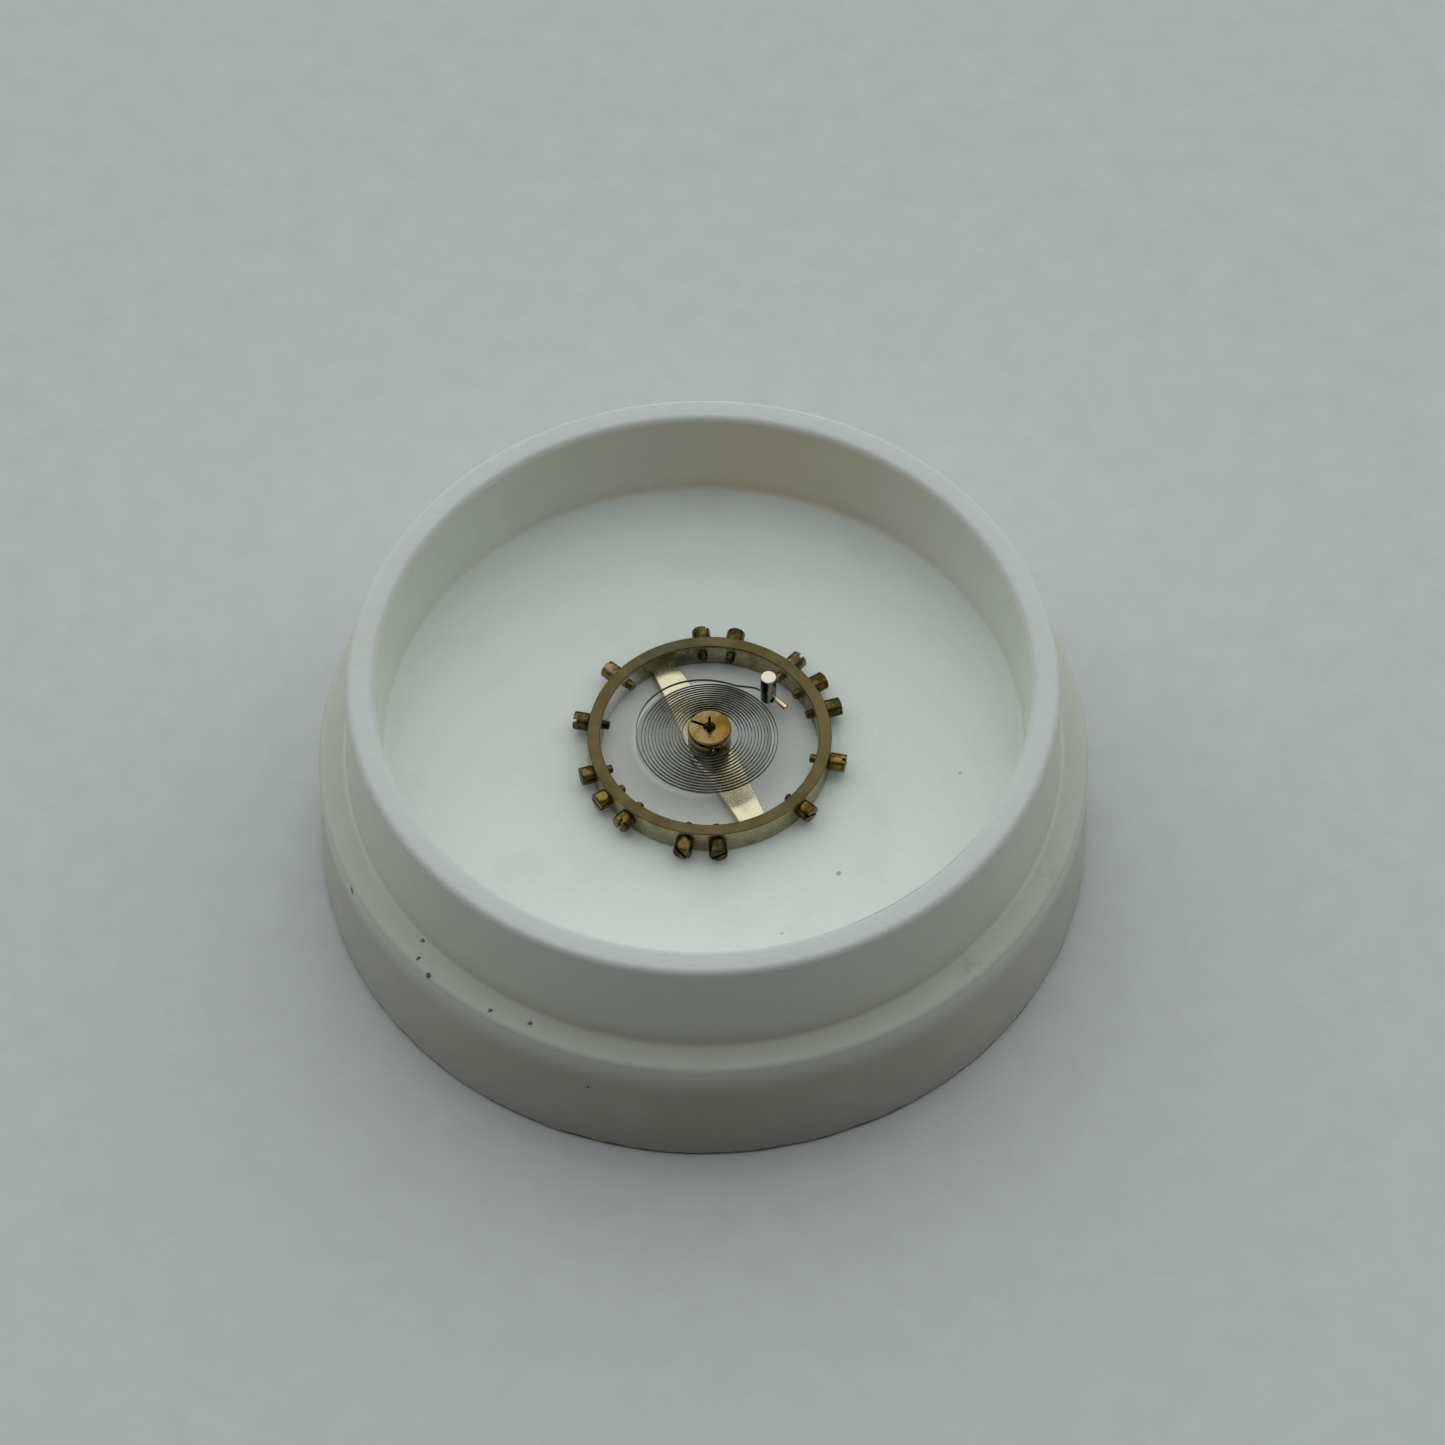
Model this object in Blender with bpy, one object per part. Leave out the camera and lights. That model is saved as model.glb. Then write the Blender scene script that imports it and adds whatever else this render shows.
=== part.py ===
"""Watch balance complete, lying in the bottom half of a small round storage pot.

The pot is a white plastic moulding with a shoulder for a lid. In it lies a screw balance: a wheel with a
two-ended arm and fourteen timing screws, on a staff with its roller and collet, with a flat hairspring
pinned to a stud.

Frame: metres, +Z up. The origin is the centre of the pot's underside. Sizes below are in millimetres and
are turned into metres where a mesh is made. The balance is modelled in its own frame: its origin is on the
staff's axis, level with the underside of the wheel's rim.
"""

import math

import bmesh
import bpy
from mathutils import Euler, Matrix, Vector

MM = 0.001

# ---------------------------------------------------------------- driving dimensions, in millimetres

# Pot. The neck's outside diameter at the lip drives the rest.
LIP_RADIUS = 15.0
NECK_FOOT_RADIUS = 15.27
SHOULDER_RADIUS = 16.45
BASE_RADIUS = 16.68
WELL_MOUTH_RADIUS = 13.82
WELL_FLOOR_RADIUS = 13.70
POT_HEIGHT = 11.35
SHOULDER_HEIGHT = 6.35
FLOOR_HEIGHT = 6.65
CEILING_HEIGHT = 5.25
SKIRT_INNER_RADIUS = 15.45
CEILING_RADIUS = 15.05
LIP_ROUNDING = 0.48
POT_EDGE_ROUNDING = 0.25
POT_STEPS = 72

# The middle of the pot's floor is dished, and has a boss under it, so that a balance lies level on its rim
# with its rollers and lower pivot in the dish.
DISH_RADIUS = 2.90
DISH_DEPTH = 1.90
DISH_STEPS = 6
BOSS_RADIUS = 3.30
BOSS_FOOT = 3.95
BOSS_DRAFT = 0.10

# Where the balance lies in the pot.
BALANCE_X = 0.26
BALANCE_Y = -0.62
REST_GAP = 0.05

# Wheel.
RIM_OUTER_RADIUS = 5.20
RIM_INNER_RADIUS = 4.64
RIM_HEIGHT = 1.18
RIM_CHAMFER = 0.07
RIM_STEPS = 72
ARM_AZIMUTH = math.radians(115.5)
ARM_TIP_HALF_WIDTH = 0.55
ARM_SWELL = 0.40
ARM_SWELL_POWER = 1.5
ARM_UNDERSIDE = 0.04
ARM_TOP = 0.40
ARM_BORE_RADIUS = 0.41
BORE_STEPS = 24

# Timing screws, at these multiples of the hole pitch from the middle of the gap at each end of the arm. The
# trimmed ones have had their heads shortened, which is how a balance is poised.
SCREW_GAP_AZIMUTH = math.radians(116.25)
HOLE_PITCH = math.radians(15.0)
SCREW_STATIONS = (-1.5, -2.5, -4.5, -5.5, -6.5, -8.5, -10.5)
SCREW_AXIS_HEIGHT = 0.62
HEAD_RADIUS = 0.395
HEAD_INNER_END = 5.22
HEAD_OUTER_END = 5.90
TRIMMED_HEAD_OUTER_END = 5.76
TRIMMED_SCREWS = (7, 10, 11, 12)
HEAD_CHAMFER = 0.06
SHANK_RADIUS = 0.20
SHANK_TIP = 4.34
TAPPED_HOLE_RADIUS = 0.22
SLOT_WIDTH = 0.13
SLOT_DEPTH = 0.16
SLOT_TURN_STEP = math.radians(37.0)
SCREW_STEPS = 12

# Staff: pivots, then the seats for the collet, the wheel and the rollers.
PIVOT_RADIUS = 0.06
PIVOT_TIP_RADIUS = 0.04
PIVOT_CONE_RADIUS = 0.10
UPPER_TIP = 2.50
UPPER_PIVOT_ROOT = 2.12
UPPER_CONE_FOOT = 2.00
NECK_RADIUS = 0.13
NECK_TOP = 1.90
NECK_FOOT = 1.50
COLLET_SEAT_RADIUS = 0.25
COLLET_SEAT_TOP = 1.44
HUB_RADIUS = 0.62
WHEEL_SEAT_RADIUS = 0.40
RIVET_RADIUS = 0.48
RIVET_FOOT = -0.06
ROLLER_SEAT_RADIUS = 0.22
ROLLER_SEAT_TOP = -0.10
ROLLER_SEAT_FOOT = -1.24
LOWER_CONE_TOP = -1.36
LOWER_PIVOT_ROOT = -1.46
LOWER_TIP = -1.75
PIVOT_ROUNDING = 0.03
RUNNING_GAP = 0.02
STAFF_STEPS = 16

# Collet.
COLLET_RADIUS = 0.92
COLLET_BORE_RADIUS = COLLET_SEAT_RADIUS + 0.01
COLLET_FOOT = 0.54
COLLET_TOP = 1.70
COLLET_CHAMFER = 0.07
COLLET_SLIT_AZIMUTH = math.radians(158.0)
COLLET_SLIT_WIDTH = 0.13
COLLET_HOLE_OFFSET = 0.62
COLLET_HOLE_AZIMUTH = math.radians(-28.0)
COLLET_HOLE_HEIGHT = 1.23
COLLET_HOLE_RADIUS = 0.15
COLLET_PIN_RADIUS = 0.05
COLLET_PIN_LENGTH = 1.50

# Hairspring: a strip on edge. The collet holds its middle up and its stud hangs free, so it stands crowned,
# leans and shifts a little, and its last coil bulges out over the span given in turns.
SPRING_HEIGHT = 0.93
STRIP_THICKNESS = 0.03
STRIP_WIDTH = 0.11
SPRING_TURNS = 13.5
SPRING_INNER_RADIUS = 1.14
SPRING_OUTER_RADIUS = 3.05
SPRING_OUTER_AZIMUTH = math.radians(70.0)
SPRING_SHIFT = -0.04
SPRING_LEAN = 0.055
SPRING_CROWN = 0.30
BULGE_START = 0.38
BULGE_SPAN = 0.42
BULGE_REACH = 0.25
SPRING_STEPS_PER_TURN = 28
SPRING_BEND_STEPS = 6

# Stud and its taper pin.
STUD_AZIMUTH = math.radians(44.2)
STUD_DISTANCE = 3.50
STUD_RADIUS = 0.34
STUD_FOOT = 0.43
STUD_TOP = 1.97
STUD_CHAMFER = 0.05
STUD_HOLE_HEIGHT = 0.66
STUD_HOLE_RADIUS = 0.17
STUD_STRIP_OFFSET = -0.08
STUD_PIN_OFFSET = 0.06
STUD_PIN_THIN_RADIUS = 0.08
STUD_PIN_THICK_RADIUS = 0.14
STUD_PIN_START = -0.45
STUD_PIN_END = 1.05

# Roller table, impulse jewel and safety roller, below the wheel.
TABLE_RADIUS = 0.90
TABLE_TOP = -0.20
TABLE_UNDERSIDE = -0.42
TABLE_HUB_RADIUS = 0.38
TABLE_HUB_FOOT = -0.84
JEWEL_DISTANCE = 0.70
JEWEL_RADIUS = 0.10
JEWEL_TOP = -0.14
JEWEL_FOOT = -1.00
SAFETY_RADIUS = 0.50
SAFETY_TOP = -0.86
SAFETY_UNDERSIDE = -1.14
PASSING_HOLLOW_RADIUS = 0.15

# ---------------------------------------------------------------- scene and material helpers


def clear_scene():
    for obj in list(bpy.data.objects):
        bpy.data.objects.remove(obj, do_unlink=True)


def material(name, colour, roughness, metallic):
    """A plain Principled BSDF finish."""
    mat = bpy.data.materials.new(name)
    mat.use_nodes = True
    shader = mat.node_tree.nodes["Principled BSDF"]
    shader.inputs["Base Color"].default_value = (*colour, 1.0)
    shader.inputs["Roughness"].default_value = roughness
    shader.inputs["Metallic"].default_value = metallic
    return mat


def empty(name, location, parent=None):
    """An empty that stands on a joint's axis and carries the pieces that move about it."""
    obj = bpy.data.objects.new(name, None)
    bpy.context.scene.collection.objects.link(obj)
    obj.location = Vector(location) * MM
    obj.parent = parent
    return obj


def finish(name, bm, mat, parent=None):
    """Turns a bmesh in millimetres into an object in metres, with its faces pointing out."""
    bmesh.ops.recalc_face_normals(bm, faces=bm.faces)
    bmesh.ops.scale(bm, vec=(MM, MM, MM), verts=bm.verts)
    mesh = bpy.data.meshes.new(name)
    bm.to_mesh(mesh)
    bm.free()
    obj = bpy.data.objects.new(name, mesh)
    bpy.context.scene.collection.objects.link(obj)
    obj.parent = parent
    if mat:
        mesh.materials.append(mat)
        mesh.shade_smooth()
        mesh.set_sharp_from_angle(angle=math.radians(30.0))
    return obj


def place(bm, matrix):
    bmesh.ops.transform(bm, matrix=matrix, verts=bm.verts)


def cut(target, cutter, operation="DIFFERENCE"):
    """Adds a Boolean with a hidden cutter, which keeps the target's parent."""
    cutter.hide_render = True
    cutter.display_type = "WIRE"
    cutter.parent = target.parent
    modifier = target.modifiers.new(cutter.name, "BOOLEAN")
    modifier.operation = operation
    modifier.object = cutter


# ---------------------------------------------------------------- shape helpers


def arc(centre, radius, start_deg, end_deg, steps):
    """Points on a circle in the (radius, height) plane."""
    points = []
    for i in range(steps + 1):
        angle = math.radians(start_deg + (end_deg - start_deg) * i / steps)
        points.append((centre[0] + radius * math.cos(angle), centre[1] + radius * math.sin(angle)))
    return points


def turned(profile, steps, closed):
    """A bmesh turned about Z from (radius, height) points.

    A closed profile makes a ring. An open one starts and ends on the axis and makes a solid.
    """
    bm = bmesh.new()
    verts = [bm.verts.new((r, 0.0, z)) for r, z in profile]
    edges = [bm.edges.new(pair) for pair in zip(verts, verts[1:])]
    if closed:
        edges.append(bm.edges.new((verts[-1], verts[0])))
    bmesh.ops.spin(
        bm,
        geom=verts + edges,
        axis=(0, 0, 1),
        cent=(0, 0, 0),
        steps=steps,
        angle=2 * math.pi,
        use_duplicate=False,
    )
    bmesh.ops.remove_doubles(bm, verts=bm.verts, dist=1e-5)
    return bm


def rod(radius, start, end, steps, end_radius=None):
    """A bmesh of a straight rod along X from start to end, tapering to end_radius if that is given."""
    end_radius = radius if end_radius is None else end_radius
    bm = turned([(0.0, start), (radius, start), (end_radius, end), (0.0, end)], steps, closed=False)
    place(bm, Euler((0.0, math.pi / 2, 0.0)).to_matrix().to_4x4())
    return bm


def block(low, high):
    """A bmesh of a box between two corners."""
    bm = bmesh.new()
    size = Vector(high) - Vector(low)
    centre = (Vector(high) + Vector(low)) / 2
    bmesh.ops.create_cube(bm, size=1.0, matrix=Matrix.LocRotScale(centre, None, size))
    return bm


def prism(outline, bottom, top):
    """A bmesh of a flat outline raised from bottom to top."""
    bm = bmesh.new()
    face = bm.faces.new([bm.verts.new((x, y, bottom)) for x, y in outline])
    raised = bmesh.ops.extrude_face_region(bm, geom=[face])["geom"]
    upper = [item for item in raised if isinstance(item, bmesh.types.BMVert)]
    bmesh.ops.translate(bm, vec=(0.0, 0.0, top - bottom), verts=upper)
    return bm


def joined(parts):
    """One bmesh that holds several separate ones, for use as a single cutter."""
    whole = bmesh.new()
    for part in parts:
        mesh = bpy.data.meshes.new("piece")
        part.to_mesh(mesh)
        part.free()
        whole.from_mesh(mesh)
        bpy.data.meshes.remove(mesh)
    return whole


def polar(radius, azimuth, height=0.0):
    return Vector((radius * math.cos(azimuth), radius * math.sin(azimuth), height))


def turn(azimuth):
    return Matrix.Rotation(azimuth, 4, "Z")


def ring_bmesh(bore, radius, underside, top, steps):
    return turned([(bore, underside), (radius, underside), (radius, top), (bore, top)], steps, closed=True)


def upright_rod(radius, distance, azimuth, bottom, top, steps):
    bm = turned([(0.0, bottom), (radius, bottom), (radius, top), (0.0, top)], steps, closed=False)
    place(bm, Matrix.Translation(polar(distance, azimuth)))
    return bm


# ---------------------------------------------------------------- pot


def dish_arc():
    """Points on the dish in the pot's floor, from its edge to the axis."""
    sphere_radius = (DISH_RADIUS**2 + DISH_DEPTH**2) / (2 * DISH_DEPTH)
    edge_angle = math.degrees(math.asin(DISH_RADIUS / sphere_radius))
    centre = (0.0, FLOOR_HEIGHT - DISH_DEPTH + sphere_radius)
    return arc(centre, sphere_radius, edge_angle - 90, -90, DISH_STEPS)


def pot_profile():
    """The pot's section, from the axis under the boss, round the outside and into the well, to the axis."""
    edge = POT_EDGE_ROUNDING
    lip = LIP_ROUNDING
    boss = [(0.0, BOSS_FOOT), (BOSS_RADIUS, BOSS_FOOT), (BOSS_RADIUS + BOSS_DRAFT, CEILING_HEIGHT)]
    hollow = [(CEILING_RADIUS - edge, CEILING_HEIGHT), (CEILING_RADIUS, CEILING_HEIGHT - edge)]
    outside = [(SKIRT_INNER_RADIUS, 0.0)]
    outside += arc((BASE_RADIUS - edge, edge), edge, -90, 0, 2)
    outside += arc((SHOULDER_RADIUS - edge, SHOULDER_HEIGHT - edge), edge, 0, 90, 3)
    outside += [
        (NECK_FOOT_RADIUS + edge / 2, SHOULDER_HEIGHT),
        (NECK_FOOT_RADIUS, SHOULDER_HEIGHT + edge / 2),
    ]
    rounded_lip = arc((LIP_RADIUS - lip, POT_HEIGHT - lip), lip, 0, 90, 4)
    rounded_lip += arc((WELL_MOUTH_RADIUS + lip, POT_HEIGHT - lip), lip, 90, 180, 4)
    well = [(WELL_FLOOR_RADIUS, FLOOR_HEIGHT + edge), (WELL_FLOOR_RADIUS - edge, FLOOR_HEIGHT)]
    return boss + hollow + outside + rounded_lip + well + dish_arc()


def make_pot(mat):
    return finish("storage_pot", turned(pot_profile(), POT_STEPS, closed=False), mat)


# ---------------------------------------------------------------- wheel


def rim_bmesh():
    c = RIM_CHAMFER
    profile = [
        (RIM_INNER_RADIUS + c, 0.0),
        (RIM_OUTER_RADIUS - c, 0.0),
        (RIM_OUTER_RADIUS, c),
        (RIM_OUTER_RADIUS, RIM_HEIGHT - c),
        (RIM_OUTER_RADIUS - c, RIM_HEIGHT),
        (RIM_INNER_RADIUS + c, RIM_HEIGHT),
        (RIM_INNER_RADIUS, RIM_HEIGHT - c),
        (RIM_INNER_RADIUS, c),
    ]
    return turned(profile, RIM_STEPS, closed=True)


def arm_half_width(distance):
    """The arm is widest at the staff and narrows towards the rim."""
    inward = max(0.0, 1.0 - distance / RIM_INNER_RADIUS)
    return ARM_TIP_HALF_WIDTH + ARM_SWELL * inward**ARM_SWELL_POWER


def arm_bmesh():
    """Both halves of the arm, along X, ending inside the rim."""
    reach = (RIM_INNER_RADIUS + RIM_OUTER_RADIUS) / 2
    stations = [reach * (i / 8 - 1.0) for i in range(17)]
    one_side = [(x, arm_half_width(abs(x))) for x in stations]
    other_side = [(x, -y) for x, y in reversed(one_side)]
    return prism(one_side + other_side, ARM_UNDERSIDE, ARM_TOP)


def screw_azimuths():
    """The azimuth of each screw: seven, then the same seven half a turn on."""
    for half in (0.0, math.pi):
        for station in SCREW_STATIONS:
            yield SCREW_GAP_AZIMUTH + half + station * HOLE_PITCH


def radial_rod(radius, start, end, azimuth, steps):
    bm = rod(radius, start, end, steps)
    place(bm, turn(azimuth) @ Matrix.Translation((0.0, 0.0, SCREW_AXIS_HEIGHT)))
    return bm


def make_wheel(mat, parent):
    wheel = finish("balance_wheel", rim_bmesh(), mat, parent)
    arm = arm_bmesh()
    place(arm, turn(ARM_AZIMUTH))
    cut(wheel, finish("arm_blank", arm, None), "UNION")
    bore = upright_rod(ARM_BORE_RADIUS, 0.0, 0.0, -RIM_HEIGHT, RIM_HEIGHT, BORE_STEPS)
    cut(wheel, finish("staff_bore_cutter", bore, None))
    holes = [
        radial_rod(TAPPED_HOLE_RADIUS, RIM_INNER_RADIUS - 0.4, RIM_OUTER_RADIUS + 0.4, azimuth, SCREW_STEPS)
        for azimuth in screw_azimuths()
    ]
    cut(wheel, finish("tapped_hole_cutter", joined(holes), None))
    return wheel


# ---------------------------------------------------------------- timing screws


def screw_mesh(mat, outer_end):
    """A timing screw along X whose head ends at outer_end, with its slot cut and finished."""
    c = HEAD_CHAMFER
    profile = [
        (0.0, SHANK_TIP),
        (SHANK_RADIUS - 0.04, SHANK_TIP),
        (SHANK_RADIUS, SHANK_TIP + 0.05),
        (SHANK_RADIUS, HEAD_INNER_END),
        (HEAD_RADIUS, HEAD_INNER_END),
        (HEAD_RADIUS, outer_end - c),
        (HEAD_RADIUS - c, outer_end),
        (0.0, outer_end),
    ]
    blank = turned(profile, SCREW_STEPS, closed=False)
    place(blank, Euler((0.0, math.pi / 2, 0.0)).to_matrix().to_4x4())
    screw = finish("screw_blank", blank, mat)
    low = (outer_end - SLOT_DEPTH, -SLOT_WIDTH / 2, -1.0)
    high = (outer_end + 0.5, SLOT_WIDTH / 2, 1.0)
    slot = finish("slot_cutter", block(low, high), None)
    cut(screw, slot)
    evaluated = screw.evaluated_get(bpy.context.evaluated_depsgraph_get())
    mesh = bpy.data.meshes.new_from_object(evaluated)
    bpy.data.objects.remove(screw)
    bpy.data.objects.remove(slot)
    return mesh


def make_timing_screws(mat, parent):
    full = screw_mesh(mat, HEAD_OUTER_END)
    trimmed = screw_mesh(mat, TRIMMED_HEAD_OUTER_END)
    for number, azimuth in enumerate(screw_azimuths(), start=1):
        mesh = trimmed if number in TRIMMED_SCREWS else full
        screw = bpy.data.objects.new(f"timing_screw_{number:02d}", mesh)
        bpy.context.scene.collection.objects.link(screw)
        screw.parent = parent
        screw.location = (0.0, 0.0, SCREW_AXIS_HEIGHT * MM)
        screw.rotation_euler = (number * SLOT_TURN_STEP, 0.0, azimuth)


# ---------------------------------------------------------------- staff


def staff_profile():
    """The staff's outside, from its upper tip to its lower one."""
    upper = [
        (0.0, UPPER_TIP),
        (PIVOT_TIP_RADIUS, UPPER_TIP),
        (PIVOT_RADIUS, UPPER_TIP - PIVOT_ROUNDING),
        (PIVOT_RADIUS, UPPER_PIVOT_ROOT),
        (PIVOT_CONE_RADIUS, UPPER_CONE_FOOT),
        (NECK_RADIUS, NECK_TOP),
        (NECK_RADIUS, NECK_FOOT),
        (COLLET_SEAT_RADIUS, COLLET_SEAT_TOP),
    ]
    collet_shoulder = COLLET_FOOT - RUNNING_GAP
    hub_foot = ARM_TOP + RUNNING_GAP
    rivet_top = ARM_UNDERSIDE - RUNNING_GAP
    middle = [
        (COLLET_SEAT_RADIUS, collet_shoulder),
        (HUB_RADIUS, collet_shoulder),
        (HUB_RADIUS, hub_foot),
        (WHEEL_SEAT_RADIUS, hub_foot),
        (WHEEL_SEAT_RADIUS, rivet_top),
        (RIVET_RADIUS, rivet_top),
        (RIVET_RADIUS, RIVET_FOOT),
        (ROLLER_SEAT_RADIUS, ROLLER_SEAT_TOP),
    ]
    lower = [
        (ROLLER_SEAT_RADIUS, ROLLER_SEAT_FOOT),
        (PIVOT_CONE_RADIUS, LOWER_CONE_TOP),
        (PIVOT_RADIUS, LOWER_PIVOT_ROOT),
        (PIVOT_RADIUS, LOWER_TIP + PIVOT_ROUNDING),
        (PIVOT_TIP_RADIUS, LOWER_TIP),
        (0.0, LOWER_TIP),
    ]
    return upper + middle + lower


def make_staff(mat, parent):
    return finish("balance_staff", turned(staff_profile(), STAFF_STEPS, closed=False), mat, parent)


# ---------------------------------------------------------------- collet


def tangent_frame(azimuth, distance, height):
    """A frame at azimuth, whose X runs clockwise round the staff and whose Y points out."""
    along = polar(1.0, azimuth - math.pi / 2)
    out = polar(1.0, azimuth)
    frame = Matrix((along, out, Vector((0.0, 0.0, -1.0)))).transposed().to_4x4()
    frame.translation = polar(distance, azimuth, height)
    return frame


def make_collet(mat, parent):
    c = COLLET_CHAMFER
    profile = [
        (COLLET_BORE_RADIUS, COLLET_FOOT),
        (COLLET_RADIUS, COLLET_FOOT),
        (COLLET_RADIUS, COLLET_TOP - c),
        (COLLET_RADIUS - c, COLLET_TOP),
        (COLLET_BORE_RADIUS, COLLET_TOP),
    ]
    collet = finish("collet", turned(profile, 32, closed=True), mat, parent)
    slit = block((0.0, -COLLET_SLIT_WIDTH / 2, 0.0), (2.0, COLLET_SLIT_WIDTH / 2, 2.0))
    place(slit, turn(COLLET_SLIT_AZIMUTH))
    cut(collet, finish("collet_slit_cutter", slit, None))
    hole = rod(COLLET_HOLE_RADIUS, -1.2, 1.2, SCREW_STEPS)
    place(hole, tangent_frame(COLLET_HOLE_AZIMUTH, COLLET_HOLE_OFFSET, COLLET_HOLE_HEIGHT))
    cut(collet, finish("collet_hole_cutter", hole, None))
    return collet


def make_collet_pin(mat, parent):
    half = COLLET_PIN_LENGTH / 2
    pin = rod(COLLET_PIN_RADIUS, -half, half, 8)
    distance = COLLET_HOLE_OFFSET - COLLET_PIN_RADIUS - RUNNING_GAP
    place(pin, tangent_frame(COLLET_HOLE_AZIMUTH, distance, COLLET_HOLE_HEIGHT))
    return finish("collet_pin", pin, mat, parent)


# ---------------------------------------------------------------- hairspring


def bend(start, start_direction, end, end_direction, steps):
    """Points on a smooth bend between two places, each left and met in its own direction (end left out)."""
    span = (end - start).length
    points = []
    for i in range(steps):
        t = i / steps
        points.append(
            (2 * t**3 - 3 * t**2 + 1) * start
            + (t**3 - 2 * t**2 + t) * span * start_direction
            + (3 * t**2 - 2 * t**3) * end
            + (t**3 - t**2) * span * end_direction
        )
    return points


def spiral_point(share):
    """A point on the spiral, at a share of its length in turns from the inner end.

    The stud hangs free, so the coils sag below the collet's hole, lean down towards the stud, and the
    last one bulges out, clear of the rest.
    """
    turns_left = (1.0 - share) * SPRING_TURNS
    azimuth = SPRING_OUTER_AZIMUTH + turns_left * 2 * math.pi
    radius = SPRING_INNER_RADIUS + (SPRING_OUTER_RADIUS - SPRING_INNER_RADIUS) * share
    if turns_left < BULGE_START:
        radius += BULGE_REACH * math.sin(math.pi * (BULGE_START - turns_left) / BULGE_SPAN) ** 2
    point = polar(radius, azimuth, SPRING_HEIGHT + SPRING_CROWN * (1.0 - share))
    point.x += SPRING_SHIFT * share**2
    point.z -= SPRING_LEAN * point.y * share
    return point


def hairspring_path():
    """The middle of the strip, from inside the collet's hole to inside the stud's, a little lower."""
    steps = round(SPRING_TURNS * SPRING_STEPS_PER_TURN)
    spiral = [spiral_point(i / steps) for i in range(steps + 1)]
    strip_offset = COLLET_HOLE_OFFSET + 2 * RUNNING_GAP
    collet_hole = tangent_frame(COLLET_HOLE_AZIMUTH, strip_offset, COLLET_HOLE_HEIGHT)
    stud_hole = tangent_frame(STUD_AZIMUTH, STUD_DISTANCE + STUD_STRIP_OFFSET, STUD_HOLE_HEIGHT)
    inner_end = collet_hole @ Vector((0.35, 0.0, 0.0))
    inner_exit = collet_hole @ Vector((0.68, 0.0, 0.0))
    outer_entry = stud_hole @ Vector((-0.36, 0.0, 0.0))
    outer_end = stud_hole @ Vector((0.10, 0.0, 0.0))
    leaving = collet_hole.to_3x3() @ Vector((1.0, 0.0, 0.0))
    entering = stud_hole.to_3x3() @ Vector((1.0, 0.0, 0.0))
    first = (spiral[1] - spiral[0]).normalized()
    last = (spiral[-1] - spiral[-2]).normalized()
    inner_bend = bend(inner_exit, leaving, spiral[0], first, SPRING_BEND_STEPS)
    outer_bend = bend(spiral[-1], last, outer_entry, entering, SPRING_BEND_STEPS)
    return [inner_end] + inner_bend + spiral[:-1] + outer_bend + [outer_entry, outer_end]


def strip_bmesh(path):
    """A strip standing on edge along a path."""
    bm = bmesh.new()
    rings = []
    for i, point in enumerate(path):
        ahead = path[min(i + 1, len(path) - 1)] - path[max(i - 1, 0)]
        side = Vector((-ahead.y, ahead.x, 0.0)).normalized() * STRIP_THICKNESS / 2
        up = Vector((0.0, 0.0, STRIP_WIDTH / 2))
        corners = (point + side - up, point - side - up, point - side + up, point + side + up)
        rings.append([bm.verts.new(corner) for corner in corners])
    for ring, following in zip(rings, rings[1:]):
        for i in range(4):
            j = (i + 1) % 4
            bm.faces.new((ring[i], ring[j], following[j], following[i]))
    bm.faces.new(rings[0])
    bm.faces.new(reversed(rings[-1]))
    return bm


def make_hairspring(mat, parent):
    return finish("hairspring", strip_bmesh(hairspring_path()), mat, parent)


# ---------------------------------------------------------------- stud


def make_stud(mat, parent):
    c = STUD_CHAMFER
    profile = [
        (0.0, STUD_FOOT),
        (STUD_RADIUS - c, STUD_FOOT),
        (STUD_RADIUS, STUD_FOOT + c),
        (STUD_RADIUS, STUD_TOP - c),
        (STUD_RADIUS - c, STUD_TOP),
        (0.0, STUD_TOP),
    ]
    body = turned(profile, 20, closed=False)
    place(body, Matrix.Translation(polar(STUD_DISTANCE, STUD_AZIMUTH)))
    stud = finish("hairspring_stud", body, mat, parent)
    hole = rod(STUD_HOLE_RADIUS, -1.0, 1.0, SCREW_STEPS)
    place(hole, tangent_frame(STUD_AZIMUTH, STUD_DISTANCE, STUD_HOLE_HEIGHT))
    cut(stud, finish("stud_hole_cutter", hole, None))
    return stud


def make_stud_pin(mat, parent):
    pin = rod(STUD_PIN_THIN_RADIUS, STUD_PIN_START, STUD_PIN_END, 10, end_radius=STUD_PIN_THICK_RADIUS)
    place(pin, tangent_frame(STUD_AZIMUTH, STUD_DISTANCE + STUD_PIN_OFFSET, STUD_HOLE_HEIGHT))
    return finish("stud_pin", pin, mat, parent)


# ---------------------------------------------------------------- roller and jewel


def make_roller_table(mat, parent):
    bore = ROLLER_SEAT_RADIUS + 0.01
    profile = [
        (bore, TABLE_HUB_FOOT),
        (TABLE_HUB_RADIUS, TABLE_HUB_FOOT),
        (TABLE_HUB_RADIUS, TABLE_UNDERSIDE),
        (TABLE_RADIUS, TABLE_UNDERSIDE),
        (TABLE_RADIUS, TABLE_TOP),
        (bore, TABLE_TOP),
    ]
    table = finish("roller_table", turned(profile, 32, closed=True), mat, parent)
    hole = upright_rod(JEWEL_RADIUS + 0.015, JEWEL_DISTANCE, ARM_AZIMUTH, -1.0, 0.0, SCREW_STEPS)
    cut(table, finish("jewel_hole_cutter", hole, None))
    return table


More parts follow.
